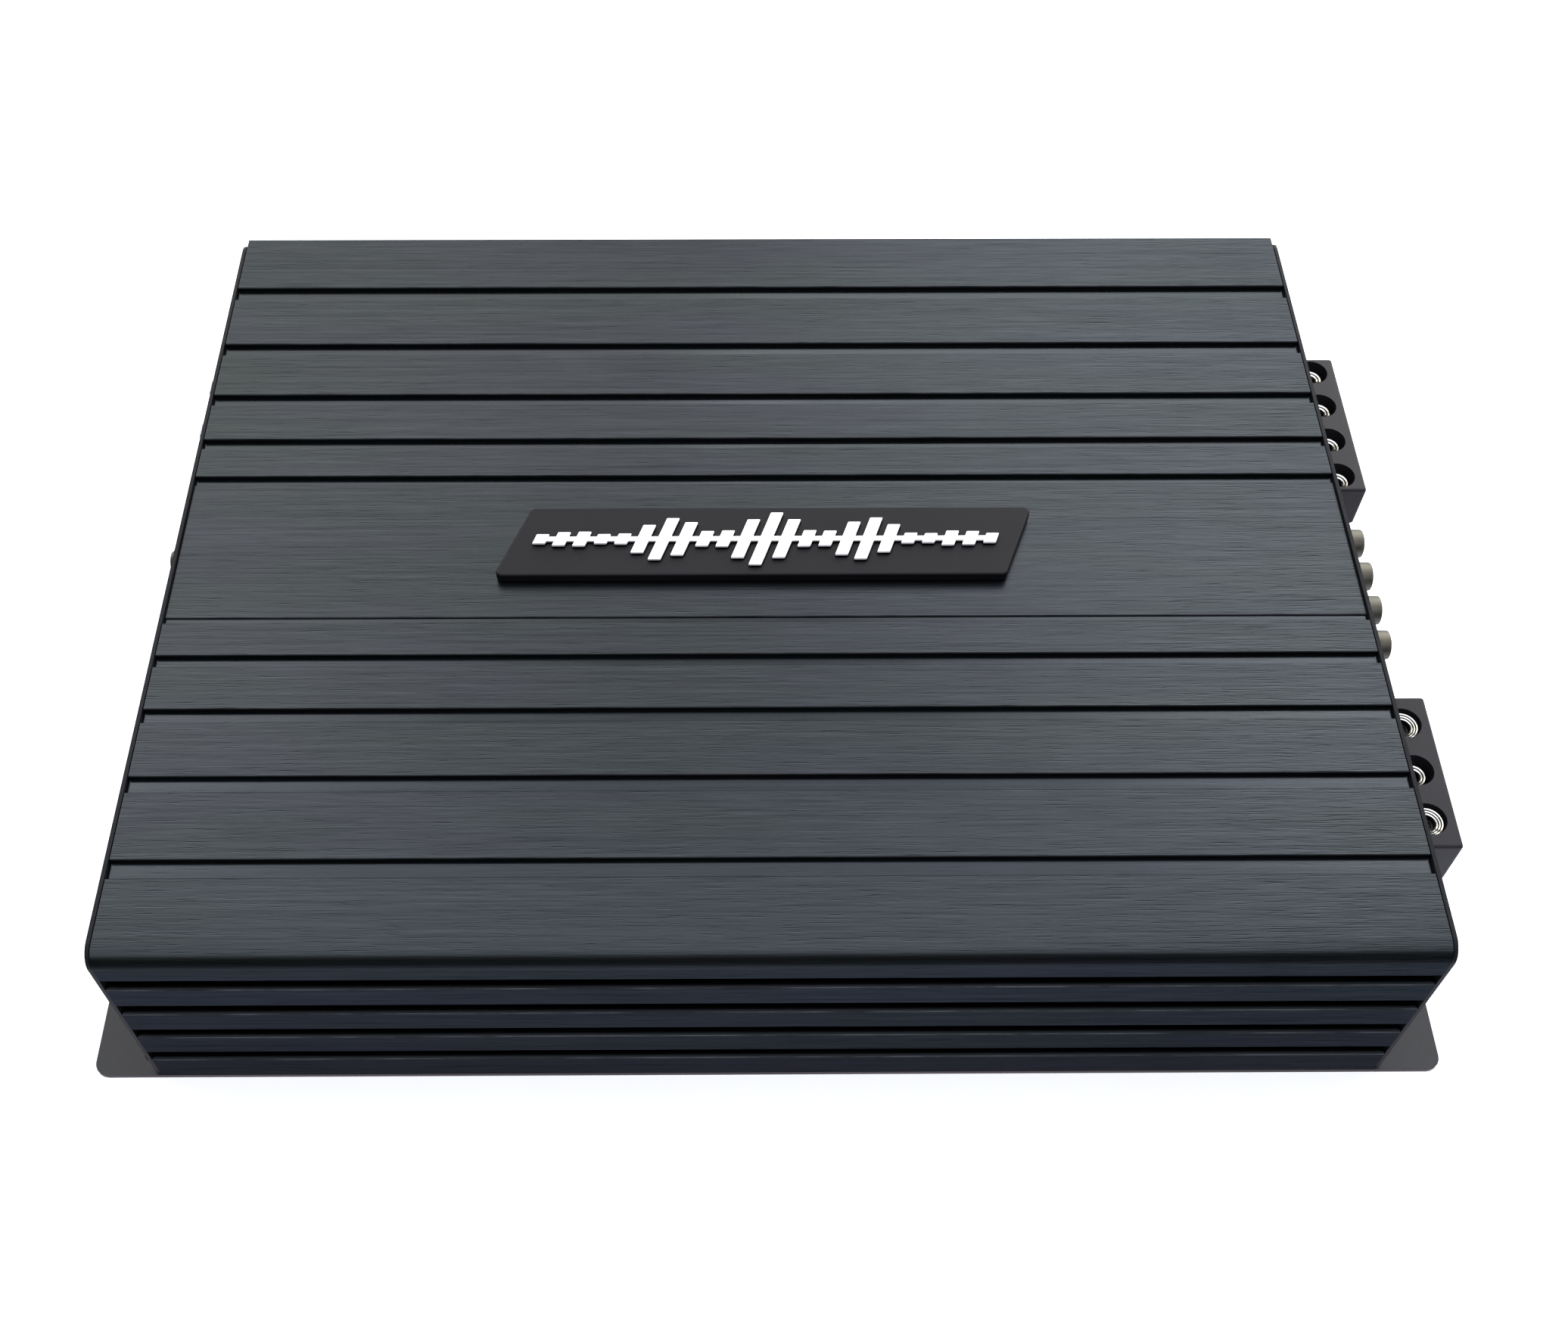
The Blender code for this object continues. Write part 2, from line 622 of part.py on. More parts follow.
def make_fuses():
    body_x = -(OUTER_X + FUSE_REACH) + FUSE_BODY.x / 2
    holder_face = body_x + FUSE_BODY.x / 2 + GAP
    holder_depth = BLADE.x + 6 * MM
    low = BLOCK_Z
    high = FUSE_Z + FUSE_BODY.z / 2 + 1.5 * MM
    holder = box(
        (holder_depth, FUSE_PITCH + 12 * MM, high - low),
        (holder_face + holder_depth / 2, FUSE_Y, (low + high) / 2),
    )
    for number, y in enumerate(fuse_places(), 1):
        fuse = box(FUSE_BODY, (body_x, y, FUSE_Z))
        for z in blade_places():
            overlap = 1 * MM
            blade = box(
                (BLADE.x + overlap, BLADE.y, BLADE.z),
                (body_x + FUSE_BODY.x / 2 + (BLADE.x - overlap) / 2, y, z),
            )
            combined(fuse, blade, "UNION")
            clearance = 2 * GAP
            pocket = (2 * (BLADE.x + 1 * MM), BLADE.y + clearance, BLADE.z + clearance)
            combined(holder, box(pocket, (holder_face, y, z)), "DIFFERENCE")
        place(fuse, f"fuse_{number}", finish_of("clear_fuse_plastic", (0.8, 0.82, 0.82), 0.15))
    place(holder, "fuse_holder", black_plastic())


# Controls

def control_places():
    """Y of the gain, low-pass, subsonic and bass-boost controls."""
    return [GAIN_Y - CONTROL_PITCH * i for i in range(4)]


def led_places():
    return [LED_Y + LED_PITCH / 2, LED_Y - LED_PITCH / 2]


def make_knob(name, y, radius, reach):
    """A knob with its shaft and a pointer groove; its origin is on the end plate's outer face."""
    skirt = 1 * MM
    shaft_end = -6 * MM
    profile = [
        (0, reach),
        (0.82 * radius, reach),
        (0.9 * radius, reach - 0.4 * MM),
        (radius, skirt + 1 * MM),
        (radius, skirt),
        (SHAFT_RADIUS, skirt),
        (SHAFT_RADIUS, shaft_end),
        (0, shaft_end),
    ]
    knob = turned(profile, segments=24)
    pointer = box((1.2 * radius, 0.8 * MM, 1 * MM), (0.6 * radius, 0, reach))
    knob = baked(combined(knob, pointer, "DIFFERENCE"))
    knob.location = (-OUTER_X, y, CONTROL_Z)
    knob.rotation_euler = MINUS_X_AXIS_TURN
    place(knob, name, black_plastic())


def make_pot(name, y):
    """A potentiometer body on the board with a blind bore for the knob's shaft."""
    front = -(INNER_X - 1 * MM)
    low = BLOCK_Z
    high = CONTROL_Z + POT_BODY.z / 2
    body = box((POT_BODY.x, POT_BODY.y, high - low), (front + POT_BODY.x / 2, y, (low + high) / 2))
    bore = rod(SHAFT_RADIUS + 0.1 * MM, 14 * MM, (front, y, CONTROL_Z), X_AXIS_TURN)
    combined(body, bore, "DIFFERENCE")
    place(body, name, finish_of("pot_body", (0.1, 0.12, 0.3), 0.5))


def make_controls():
    names = ("gain", "low_pass", "subsonic", "bass_boost")
    for name, y in zip(names, control_places()):
        radius, reach = GAIN_KNOB if name == "gain" else SMALL_KNOB
        make_knob(f"{name}_knob", y, radius, reach)
        make_pot(f"{name}_potentiometer", y)

    front = -(INNER_X - GAP)
    depth, slot_height = 6 * MM, SWITCH_SLOT[1]
    body_height = CONTROL_Z + 4 * MM - BLOCK_Z
    size = (depth, SWITCH_SLOT[0] + 6 * MM, body_height)
    body = box(size, (front + depth / 2, SWITCH_Y, BLOCK_Z + body_height / 2))
    track = (6 * MM, SWITCH_SLOT[0], slot_height)
    combined(body, box(track, (front, SWITCH_Y, CONTROL_Z)), "DIFFERENCE")
    place(body, "phase_switch_body", finish_of("switch_body", (0.2, 0.2, 0.2), 0.4))
    lever_width = 4.6 * MM
    rest_y = SWITCH_Y + SWITCH_TRAVEL / 2
    lever = box((5.5 * MM, lever_width, slot_height - 2 * GAP), (-OUTER_X - 0.2 * MM, rest_y, CONTROL_Z))
    place(lever, "phase_switch_lever", black_plastic())

    side = 12 * MM - 2 * GAP
    jack_depth = 14 * MM
    jack = box((jack_depth, side, side), (-OUTER_X + jack_depth / 2, REMOTE_JACK_Y, CONTROL_Z))
    combined(jack, box((20 * MM, 8 * MM, 6.5 * MM), (-OUTER_X, REMOTE_JACK_Y, CONTROL_Z)), "DIFFERENCE")
    place(jack, "remote_jack", black_plastic())

    profile = [(0, 1.4 * MM), (0.9 * MM, 1.1 * MM), (1.5 * MM, 0), (1.5 * MM, -1.6 * MM)]
    profile += [(1.9 * MM, -1.6 * MM), (1.9 * MM, -4 * MM), (0, -4 * MM)]
    for name, y, colour in zip(("power_led", "protect_led"), led_places(), ((0.1, 0.3, 1), (1, 0.05, 0.03))):
        led = baked(turned(profile, segments=16))
        led.location = (-OUTER_X, y, CONTROL_Z)
        led.rotation_euler = MINUS_X_AXIS_TURN
        place(led, name, finish_of(f"{name}_lens", colour, 0.1))


# Badge

def badge_outline():
    half_x, half_y = BADGE_LENGTH / 2, BADGE_WIDTH / 2
    corners = [(-half_x, -half_y), (half_x - BADGE_SLANT, -half_y)]
    corners += [(half_x, half_y), (-half_x + BADGE_SLANT, half_y)]
    return rounded(corners, BADGE_RADIUS, 4)


def emblem_outline():
    """A sound wave: slanted bars of rising and falling height, joined by a line through their middles."""
    step = EMBLEM_LENGTH / EMBLEM_BARS
    width = 0.62 * step
    middle = (EMBLEM_BARS - 1) / 2
    upper = []
    for i in range(EMBLEM_BARS):
        start = (i - middle) * step - width / 2
        swell = math.cos(0.46 * math.pi * (i - middle) / middle)
        beat = 0.62 + 0.38 * math.cos(1.25 * (i - middle))
        half = max(EMBLEM_SHORTEST, EMBLEM_TALLEST * swell * beat) / 2
        upper += [(start, EMBLEM_SPINE / 2), (start, half)]
        upper += [(start + width, half), (start + width, EMBLEM_SPINE / 2)]
    upper = upper[1:-1]
    outline = upper + [(x, -y) for x, y in reversed(upper)]
    return [(x + EMBLEM_SHEAR * y, y) for x, y in outline]


def make_badge():
    panel_z = SINK_Z + SINK_HEIGHT - PANEL_RECESS
    badge = flat([badge_outline()], BADGE_THICKNESS, (0, 0, panel_z + GAP + BADGE_THICKNESS / 2))
    place(badge, "badge_plate", finish_of("badge_black", (0.02, 0.02, 0.024), 0.35))
    emblem_z = panel_z + 2 * GAP + BADGE_THICKNESS + EMBLEM_THICKNESS / 2
    emblem = flat([emblem_outline()], EMBLEM_THICKNESS, (0, 0, emblem_z))
    place(emblem, "badge_emblem", finish_of("emblem_white", (0.85, 0.85, 0.86), 0.4))


# Inside

def make_power_stage():
    """Transistor rows clamped to both side walls, standing over the board."""
    row_length = TRANSISTOR_PITCH * (TRANSISTOR_COUNT - 1)
    foot_z = BOARD_TOP + 4 * MM
    for side, name in ((-1, "front"), (1, "rear")):
        wall = side * (INNER_Y - GAP)
        pad_y = wall - side * PAD_THICKNESS / 2
        pad = box(
            (row_length + 14 * MM, PAD_THICKNESS, TRANSISTOR.z + 3 * MM),
            (0, pad_y, foot_z + TRANSISTOR.z / 2),
        )
        face = wall - side * PAD_THICKNESS
        for i in range(TRANSISTOR_COUNT):
            x = -row_length / 2 + i * TRANSISTOR_PITCH
            overlap = 0.2 * MM
            depth = TRANSISTOR.y + overlap
            body = (TRANSISTOR.x, depth, TRANSISTOR.z)
            case = box(body, (x, face - side * (depth / 2 - overlap), foot_z + TRANSISTOR.z / 2))
            combined(pad, case, "UNION")
        place(pad, f"{name}_transistor_row", finish_of("transistor_black", (0.02, 0.02, 0.02), 0.5))
        bar_y = face - side * (TRANSISTOR.y + GAP + CLAMP_BAR.y / 2)
        bar = box(CLAMP_BAR, (0, bar_y, foot_z + TRANSISTOR.z * 0.55))
        place(bar, f"{name}_clamp_bar", finish_of("raw_aluminium", (0.6, 0.6, 0.62), 0.35, 1.0))


def ring(sizes, centre, name, material):
    """A wound toroid with rounded edges, standing on the board."""
    radius, half, height = sizes
    edge = 0.35 * half
    top = height / 2
    profile = [
        (radius + half - edge, top),
        (radius + half, top - edge),
        (radius + half, edge - top),
        (radius + half - edge, -top),
        (radius - half + edge, -top),
        (radius - half, edge - top),
        (radius - half, top - edge),
        (radius - half + edge, top),
    ]
    toroid = turned(profile, segments=32, closed=True)
    toroid.location = centre
    place(toroid, name, material)


def make_inside():
    board_length = SINK_LENGTH - 16 * MM
    board_width = 2 * (INNER_Y - 2 * GAP)
    board = box((board_length, board_width, BOARD_THICKNESS), (0, 0, BOARD_TOP - BOARD_THICKNESS / 2))
    place(board, "main_board", finish_of("board_green", (0.02, 0.12, 0.05), 0.4))
    make_power_stage()
    copper = finish_of("copper_winding", (0.5, 0.2, 0.07), 0.35, 0.8)
    stand = BOARD_TOP + GAP
    ring(TOROID, (-72 * MM, 30 * MM, stand + TOROID[2] / 2), "supply_transformer", copper)
    ring(INDUCTOR, (96 * MM, 62 * MM, stand + INDUCTOR[2] / 2), "output_inductor_1", copper)
    ring(INDUCTOR, (96 * MM, 18 * MM, stand + INDUCTOR[2] / 2), "output_inductor_2", copper)
    height = CAPACITOR_HEIGHT
    can = [(0, height), (CAPACITOR_RADIUS - 1 * MM, height), (CAPACITOR_RADIUS, height - 1 * MM)]
    can += [(CAPACITOR_RADIUS, 0), (0, 0)]
    sleeve = baked(turned(can, segments=24))
    spots = [((26 - 30 * i) * MM, -44 * MM, stand) for i in range(CAPACITOR_COUNT)]
    copies(sleeve.data, "supply_capacitor", finish_of("capacitor_sleeve", (0.03, 0.03, 0.08), 0.3), spots)
    bpy.data.objects.remove(sleeve)
    card_height = 24 * MM
    card = box((64 * MM, BOARD_THICKNESS, card_height), (20 * MM, 46 * MM, stand + card_height / 2))
    place(card, "driver_card", finish_of("board_green", (0.02, 0.12, 0.05), 0.4))


start_scene()
make_heat_sink()
make_bottom_plate()
make_end_plates()
make_casing_screws()
make_terminals()
make_jacks()
make_fuses()
make_controls()
make_badge()
make_inside()
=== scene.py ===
"""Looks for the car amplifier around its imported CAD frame: finished pieces, materials, floor, light and camera.

Everything is in metres in the CAD's own frame: +Z up, +X the connector end, -X the control end, -Y the front.
"""

import math

import bmesh
import bpy
from mathutils import Matrix, Vector


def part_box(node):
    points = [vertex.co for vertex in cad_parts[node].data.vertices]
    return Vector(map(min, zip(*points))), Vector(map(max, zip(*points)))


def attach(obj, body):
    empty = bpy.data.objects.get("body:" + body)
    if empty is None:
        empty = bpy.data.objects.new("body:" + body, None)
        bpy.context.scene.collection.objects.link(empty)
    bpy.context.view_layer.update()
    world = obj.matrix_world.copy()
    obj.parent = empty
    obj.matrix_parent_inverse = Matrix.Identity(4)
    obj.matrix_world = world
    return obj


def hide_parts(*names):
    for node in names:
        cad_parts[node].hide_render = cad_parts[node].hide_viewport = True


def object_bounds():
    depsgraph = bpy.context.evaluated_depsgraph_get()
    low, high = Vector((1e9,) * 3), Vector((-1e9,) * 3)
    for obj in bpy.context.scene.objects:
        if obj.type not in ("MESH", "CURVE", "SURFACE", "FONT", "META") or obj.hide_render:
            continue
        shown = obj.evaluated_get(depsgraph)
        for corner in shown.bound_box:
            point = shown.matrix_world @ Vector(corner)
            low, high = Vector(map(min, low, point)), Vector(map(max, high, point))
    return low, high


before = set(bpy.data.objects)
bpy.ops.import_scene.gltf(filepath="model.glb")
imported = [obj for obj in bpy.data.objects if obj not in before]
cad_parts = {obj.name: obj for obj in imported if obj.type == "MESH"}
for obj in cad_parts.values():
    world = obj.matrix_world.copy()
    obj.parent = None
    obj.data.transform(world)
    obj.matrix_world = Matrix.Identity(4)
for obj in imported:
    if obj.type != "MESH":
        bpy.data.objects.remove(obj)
cad_low, cad_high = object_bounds()

MM = 0.001
CHASSIS = "chassis"
WELD = 0.002 * MM
SMOOTH_ANGLE = math.radians(38)

# Camera
CAMERA_PLACE = Vector((-9.1, -307.4, 445.5)) * MM
CAMERA_PITCH, CAMERA_YAW, CAMERA_ROLL = 54.82, 0.56, -0.26  # degrees: down, towards +X, about the view
SENSOR_WIDTH, LENS, LENS_SHIFT = 36, 41.1, 0.0262  # millimetres, and the shift as a share of the width

# Light: each panel's radiance, azimuth from +Y, elevation (past 90 it's over the front), size and colour
PANEL_DISTANCE = 1.75
LIGHT_PANELS = {
    "left_softbox": (3.25, -36.7, 29.3, (1.84, 1.78), (1.03, 1, 0.96)),
    "right_softbox": (4.6, 36.7, 29.3, (1.84, 1.78), (1, 1, 1)),
    "overhead_panel": (2.2, 0, 101, (2.06, 3.15), (0.95, 0.99, 1.1)),
}
ROOM_RADIANCE, DARK_RADIANCE = 0.35, 0.08
DARK_DIRECTION, DARK_FADE = (0, -0.97, 0.26), (0.71, 0.94)  # the fade is in cosines from the direction
SEEN_WHITE = 1.1  # what the camera sees of the room, and of the floor near the horizon

# Floor: its own shade, and the shade and glow that the casing reflects
FLOOR_SIZE = 14
FLOOR_SHADE, MIRRORED_SHADE = (0.82, 0.82, 0.82), (0.1, 0.11, 0.13)
FLOOR_GLOW, HORIZON = 0.4, (0.6, 1.8)  # as the camera sees it, rising to white between these distances
BASE_GLOW, NEAR_GLOW, FAR_GLOW = (0.92, 0.8, 0.9), (1.48, 1.52, 1.72), (0.02, 0.02, 0.02)
GLOW_RISE, GLOW_END_X, GLOW_END_Y = (0, 0.042), (0.22, 0.3), (0.18, 0.23)

# Heat sink: how wide the widest chamfer and top groove floor can be, and how deep the grooves lie
CHAMFER_LIMIT, FLOOR_LIMIT = 0.45 * MM, 6 * MM
TOP_GROOVE_DEPTH, SIDE_START, SIDE_GROOVE_DEPTHS = 1.2 * MM, 6 * MM, (0.3 * MM, 2.4 * MM)
# Slots: plain brushing, painted edge highlight, slightly lighter groove floor (painted light), darker side groove
# (painted shade).
BRUSHED, EDGE_HIGHLIGHT, GROOVE_FLOOR, SHADED_SIDE_GROOVE = range(4)  # its material slots

RING_DEPTH, RING_DROP = 0.5 * MM, 0.28 * MM  # of the turned rings on the terminal screws
FUSE_WEB = 2.6 * MM  # the thick outer end of a fuse's body
BLADE_LENGTH, BLADE_HEIGHT, BLADE_SHEET = 6.6 * MM, 5.1 * MM, 0.75 * MM
BLADE_INSET = 2.65 * MM  # from a fuse's upper or lower side to the middle of its blade
KNOB_RIBS, RIB_RADIUS = 18, 0.32 * MM
LAMPS = {  # each lamp's lens colour and material slot
    "power_led": ((0.08, 0.2, 0.95), "blue_lens"),
    "protect_led": ((0.9, 0.04, 0.02), "red_lens"),
}
WIRE, WIRE_STEPS, WIRE_RELIEF = 1.1 * MM, 4, 0.18  # a winding's wire, its steps round the ring and its relief


# Node helpers

def new_material(name):
    material = bpy.data.materials.new(name)
    material.use_nodes = True
    tree = material.node_tree
    return material, tree, tree.nodes["Principled BSDF"]


def feed(tree, node, inputs):
    """Sets a node's inputs, each from a value or from another node's output."""
    for key, value in inputs.items():
        if isinstance(value, bpy.types.NodeSocket):
            tree.links.new(value, node.inputs[key])
        else:
            node.inputs[key].default_value = value


def add(tree, kind, inputs, **settings):
    """Adds a shader node and returns its first output."""
    node = tree.nodes.new("ShaderNode" + kind)
    for key, value in settings.items():
        setattr(node, key, value)
    feed(tree, node, inputs)
    return node.outputs[0]


def calc(tree, operation, first, second=0.0, third=0.0):
    return add(tree, "Math", {0: first, 1: second, 2: third}, operation=operation)


def remap(tree, value, low, high, to_low=0.0, to_high=1.0):
    """A smooth step of value from low to high, scaled to the range to_low to to_high."""
    limits = {"Value": value, "From Min": low, "From Max": high, "To Min": to_low, "To Max": to_high}
    return add(tree, "MapRange", limits, interpolation_type="SMOOTHSTEP")


def place_of(tree):
    node = tree.nodes.new("ShaderNodeTexCoord")
    return node.outputs["Object"]


def split_place(tree):
    node = tree.nodes.new("ShaderNodeSeparateXYZ")
    tree.links.new(place_of(tree), node.inputs[0])
    return node.outputs[0], node.outputs[1], node.outputs[2]


def noise(tree, scale, detail=2.0, roughness=0.5, offset=(0, 0, 0)):
    """Noise with its own number of features per metre on each axis."""
    vector = add(tree, "Mapping", {"Vector": place_of(tree), "Scale": scale, "Location": offset})
    settings = {"Vector": vector, "Scale": 1.0, "Detail": detail, "Roughness": roughness}
    return add(tree, "TexNoise", settings)


def even(scale):
    return (scale, scale, scale)


def tinted(tree, colour, amount):
    """A colour times a varying amount."""
    return add(tree, "VectorMath", {0: colour, "Scale": amount}, operation="SCALE")


def mixed(tree, amount, first, second):
    node = tree.nodes.new("ShaderNodeMix")
    node.data_type = "RGBA"
    feed(tree, node, {"Factor": amount})
    for socket, colour in ((node.inputs[6], first), (node.inputs[7], second)):
        if isinstance(colour, bpy.types.NodeSocket):
            tree.links.new(colour, socket)
        else:
            socket.default_value = (*colour, 1)
    return node.outputs[2]


def bump(tree, height, distance, strength=1.0):
    return add(tree, "Bump", {"Height": height, "Distance": distance, "Strength": strength})


# Materials

def streaks(tree, along, across, detail, roughness, seed, shift=0.0):
    """Noise drawn out along X, with its own number of features per metre along X and across it over any face."""
    x, y, z = split_place(tree)
    span = calc(tree, "MULTIPLY_ADD", calc(tree, "ADD", y, z), across, shift)
    vector = add(tree, "CombineXYZ", {0: calc(tree, "MULTIPLY", x, along), 1: span, 2: seed})
    return add(tree, "TexNoise", {"Vector": vector, "Scale": 1.0, "Detail": detail, "Roughness": roughness})


def brushed_aluminium(name, shade=1.0, marks=1.0, roughness=0.25):
    """Black anodised aluminium, brushed along X, with fine scratches that crowd together towards the +X end.

    Each dark scratch has a light edge beside it.
    """
    material, tree, shader = new_material(name)
    x, y, _ = split_place(tree)
    grain = streaks(tree, 60, 7500, 2.0, 0.6, 1.0)
    hairs = streaks(tree, 45, 3300, 3.0, 0.65, 4.0)
    bands = streaks(tree, 4, 800, 2.0, 0.6, 8.0)
    smears = streaks(tree, 12, 1300, 2.0, 0.6, 21.0)
    cloud = streaks(tree, 9, 45, 2.0, 0.5, 11.0)
    scratch = streaks(tree, 105, 4600, 2.0, 0.5, 15.0)
    beside = streaks(tree, 105, 4600, 2.0, 0.5, 15.0, 0.9)
    ends = remap(tree, x, 0.05, 0.158)
    front = remap(tree, y, 0.1, -0.12)
    crowd = calc(tree, "MULTIPLY_ADD", ends, 0.055, calc(tree, "MULTIPLY", front, 0.02))
    crowd = calc(tree, "MULTIPLY_ADD", cloud, 0.11, crowd)
    dark = remap(tree, calc(tree, "ADD", scratch, crowd), 0.675, 0.735, 0.0, marks)
    light = remap(tree, calc(tree, "ADD", beside, crowd), 0.685, 0.755, 0.0, marks)
    wave = calc(tree, "MULTIPLY", calc(tree, "SUBTRACT", grain, 0.5), 0.9 * marks)
    contrast = calc(tree, "MULTIPLY_ADD", ends, 0.3 * marks, 1.1 * marks)
    wave = calc(tree, "MULTIPLY_ADD", calc(tree, "SUBTRACT", hairs, 0.5), contrast, wave)
    wave = calc(tree, "MULTIPLY_ADD", calc(tree, "SUBTRACT", bands, 0.5), 0.42, wave)
    wave = calc(tree, "MULTIPLY_ADD", calc(tree, "SUBTRACT", smears, 0.5), 0.55 * marks, wave)
    wave = calc(tree, "MULTIPLY_ADD", dark, -0.65, wave)
    wave = calc(tree, "MULTIPLY_ADD", light, 0.6, wave)
    tint = mixed(tree, remap(tree, cloud, 0.35, 0.65), (0.0287, 0.0312, 0.0352), (0.0277, 0.0316, 0.033))
    colour = tinted(tree, tint, calc(tree, "MULTIPLY_ADD", wave, shade, shade))
    relief = bump(tree, calc(tree, "SUBTRACT", grain, dark), 0.012 * MM, 0.3)
    feed(tree, shader, {
        "Base Color": colour,
        "Metallic": 1.0,
        "Roughness": calc(tree, "MULTIPLY_ADD", grain, 0.1, roughness),
        "Anisotropic": 0.45,
        "Anisotropic Rotation": 0.25,
        "Tangent": add(tree, "CombineXYZ", {0: 1.0}),
        "Specular Tint": (0.42, 0.43, 0.45, 1),
        "Normal": relief,
    })
    return material


def painted_edge_highlight(name):
    """Aluminium lighter than the brushed black, painted along an edge as a highlight and mottled by noise."""
    material, tree, shader = new_material(name)
    edge_mottle = noise(tree, (60, 300, 300), 3.0, 0.6)
    feed(tree, shader, {
        "Base Color": mixed(tree, remap(tree, edge_mottle, 0.3, 0.65), (0.022, 0.024, 0.027), (0.06, 0.063, 0.068)),
        "Metallic": 1.0,
        "Roughness": remap(tree, edge_mottle, 0.3, 0.7, 0.62, 0.5),
        "Normal": bump(tree, edge_mottle, 0.02 * MM, 0.3),
    })
    return material


def coated_steel(name, colour, peel=0.5, roughness=0.42, level=0.3):
    """Satin powder coat on sheet steel: fine orange peel, a little dust and uneven gloss."""
    material, tree, shader = new_material(name)
    orange_peel = noise(tree, even(1400), 2.0)
    cloud = noise(tree, even(28), 3.0)
    specks = remap(tree, noise(tree, even(3600), 0.0), 0.74, 0.8)
    shade = remap(tree, cloud, 0.3, 0.7, 0.85, 1.2)
    tone = mixed(tree, calc(tree, "MULTIPLY", specks, 0.12), tinted(tree, colour, shade), (0.12, 0.12, 0.125))
    feed(tree, shader, {
        "Base Color": tone,
        "Metallic": 0.15,
        "Roughness": remap(tree, cloud, 0.25, 0.75, roughness - 0.05, roughness + 0.06),
        "Specular IOR Level": level,
        "Normal": bump(tree, orange_peel, 0.03 * MM, peel),
    })
    return material


def moulded_plastic(name, colour, roughness=0.5, grain=1800, relief=0.5, level=0.4):
    """Moulded plastic with a fine spark-eroded texture and faint handling marks."""
    material, tree, shader = new_material(name)
    fine = noise(tree, even(grain), 3.0, 0.6)
    cloud = noise(tree, even(45), 3.0)
    scuffs = remap(tree, noise(tree, (60, 420, 420), 3.0, 0.6, (2, 2, 2)), 0.68, 0.8)
    tone = tinted(tree, colour, remap(tree, cloud, 0.3, 0.7, 0.85, 1.15))
    tone = mixed(tree, calc(tree, "MULTIPLY", scuffs, 0.12), tone, [2.5 * c + 0.02 for c in colour[:3]])
    rough = calc(tree, "ADD", roughness - 0.06, calc(tree, "MULTIPLY", fine, 0.12))
    feed(tree, shader, {
        "Base Color": tone,
        "Roughness": calc(tree, "SUBTRACT", rough, calc(tree, "MULTIPLY", scuffs, 0.08)),
        "Specular IOR Level": level,
        "Normal": bump(tree, fine, 0.02 * MM, relief),
    })
    return material


def badge_plastic(name):
    """Satin black plastic with painted shade in the narrow moat around the raised emblem: ambient occlusion darkens its
    colour and specular level there.
    """
    material, tree, shader = new_material(name)
    fine = noise(tree, even(900), 3.0, 0.6)
    cloud = noise(tree, even(45), 3.0)
    corner = tree.nodes.new("ShaderNodeAmbientOcclusion")
    feed(tree, corner, {"Distance": 0.7 * MM})
    # Painted shade: the moat by the emblem is darkened through ambient occlusion.
    painted_shade_factor = remap(tree, corner.outputs["AO"], 0.72, 0.92, 0.12, 1.0)
    shade = calc(tree, "MULTIPLY", painted_shade_factor, remap(tree, cloud, 0.3, 0.7, 0.85, 1.15))
    feed(tree, shader, {
        "Base Color": tinted(tree, (0.0045, 0.004, 0.0055), shade),
        "Roughness": calc(tree, "MULTIPLY_ADD", fine, 0.12, 0.44),
        "Specular IOR Level": calc(tree, "MULTIPLY", painted_shade_factor, 0.125),
        "Normal": bump(tree, fine, 0.02 * MM, 0.12),
    })
    return material


def plated_metal(name, colour, roughness=0.2, lines=0.25):
    """Plated or plain metal with turning marks and slightly dull patches."""
    material, tree, shader = new_material(name)
    cloud = noise(tree, even(260), 3.0, 0.6)
    fine = noise(tree, (5200, 900, 900), 2.0)
    dull = remap(tree, cloud, 0.35, 0.7)
    tone = tinted(tree, colour, remap(tree, cloud, 0.3, 0.7, 0.8, 1.05))
    feed(tree, shader, {
        "Base Color": tone,
        "Metallic": 1.0,
        "Roughness": calc(tree, "ADD", roughness, calc(tree, "MULTIPLY", dull, 0.14)),
        "Normal": bump(tree, fine, 0.01 * MM, lines),
    })
    return material


def clear_plastic(name, colour, roughness=0.08, transmission=0.85):
    """Clear or tinted moulded plastic with faint flow marks."""
    material, tree, shader = new_material(name)
    flow = noise(tree, even(120), 2.0)
    feed(tree, shader, {
        "Base Color": tinted(tree, colour, remap(tree, flow, 0.3, 0.7, 0.95, 1.0)),
        "Roughness": remap(tree, flow, 0.3, 0.7, roughness * 0.7, roughness * 1.5),
        "Transmission Weight": transmission,
        "IOR": 1.49,
        "Normal": bump(tree, flow, 0.05 * MM, 0.2),
    })
    return material


def lens_plastic(name, colour):
    """A coloured diffused LED lens, unlit, with a faint glow of its own colour."""
    material, tree, shader = new_material(name)
    milk = noise(tree, even(900), 2.0)
    feed(tree, shader, {
        "Base Color": tinted(tree, colour, remap(tree, milk, 0.3, 0.7, 0.75, 1.0)),
        "Roughness": remap(tree, milk, 0.3, 0.7, 0.1, 0.2),
        "Coat Weight": 0.6,
        "Emission Color": (*colour, 1),
        "Emission Strength": 0.15,
        "Normal": bump(tree, milk, 0.01 * MM, 0.2),
    })
    return material


def wound_copper(name):
    """Enamelled copper wire with a glossy lacquer and slight colour changes from turn to turn."""
    material, tree, shader = new_material(name)
    cloud = noise(tree, even(300), 2.0)
    feed(tree, shader, {
        "Base Color": mixed(tree, cloud, (0.42, 0.13, 0.045), (0.66, 0.27, 0.1)),
        "Metallic": 0.85,
        "Roughness": remap(tree, cloud, 0.3, 0.7, 0.2, 0.34),
        "Coat Weight": 0.7,
        "Coat Roughness": 0.12,
    })
    return material


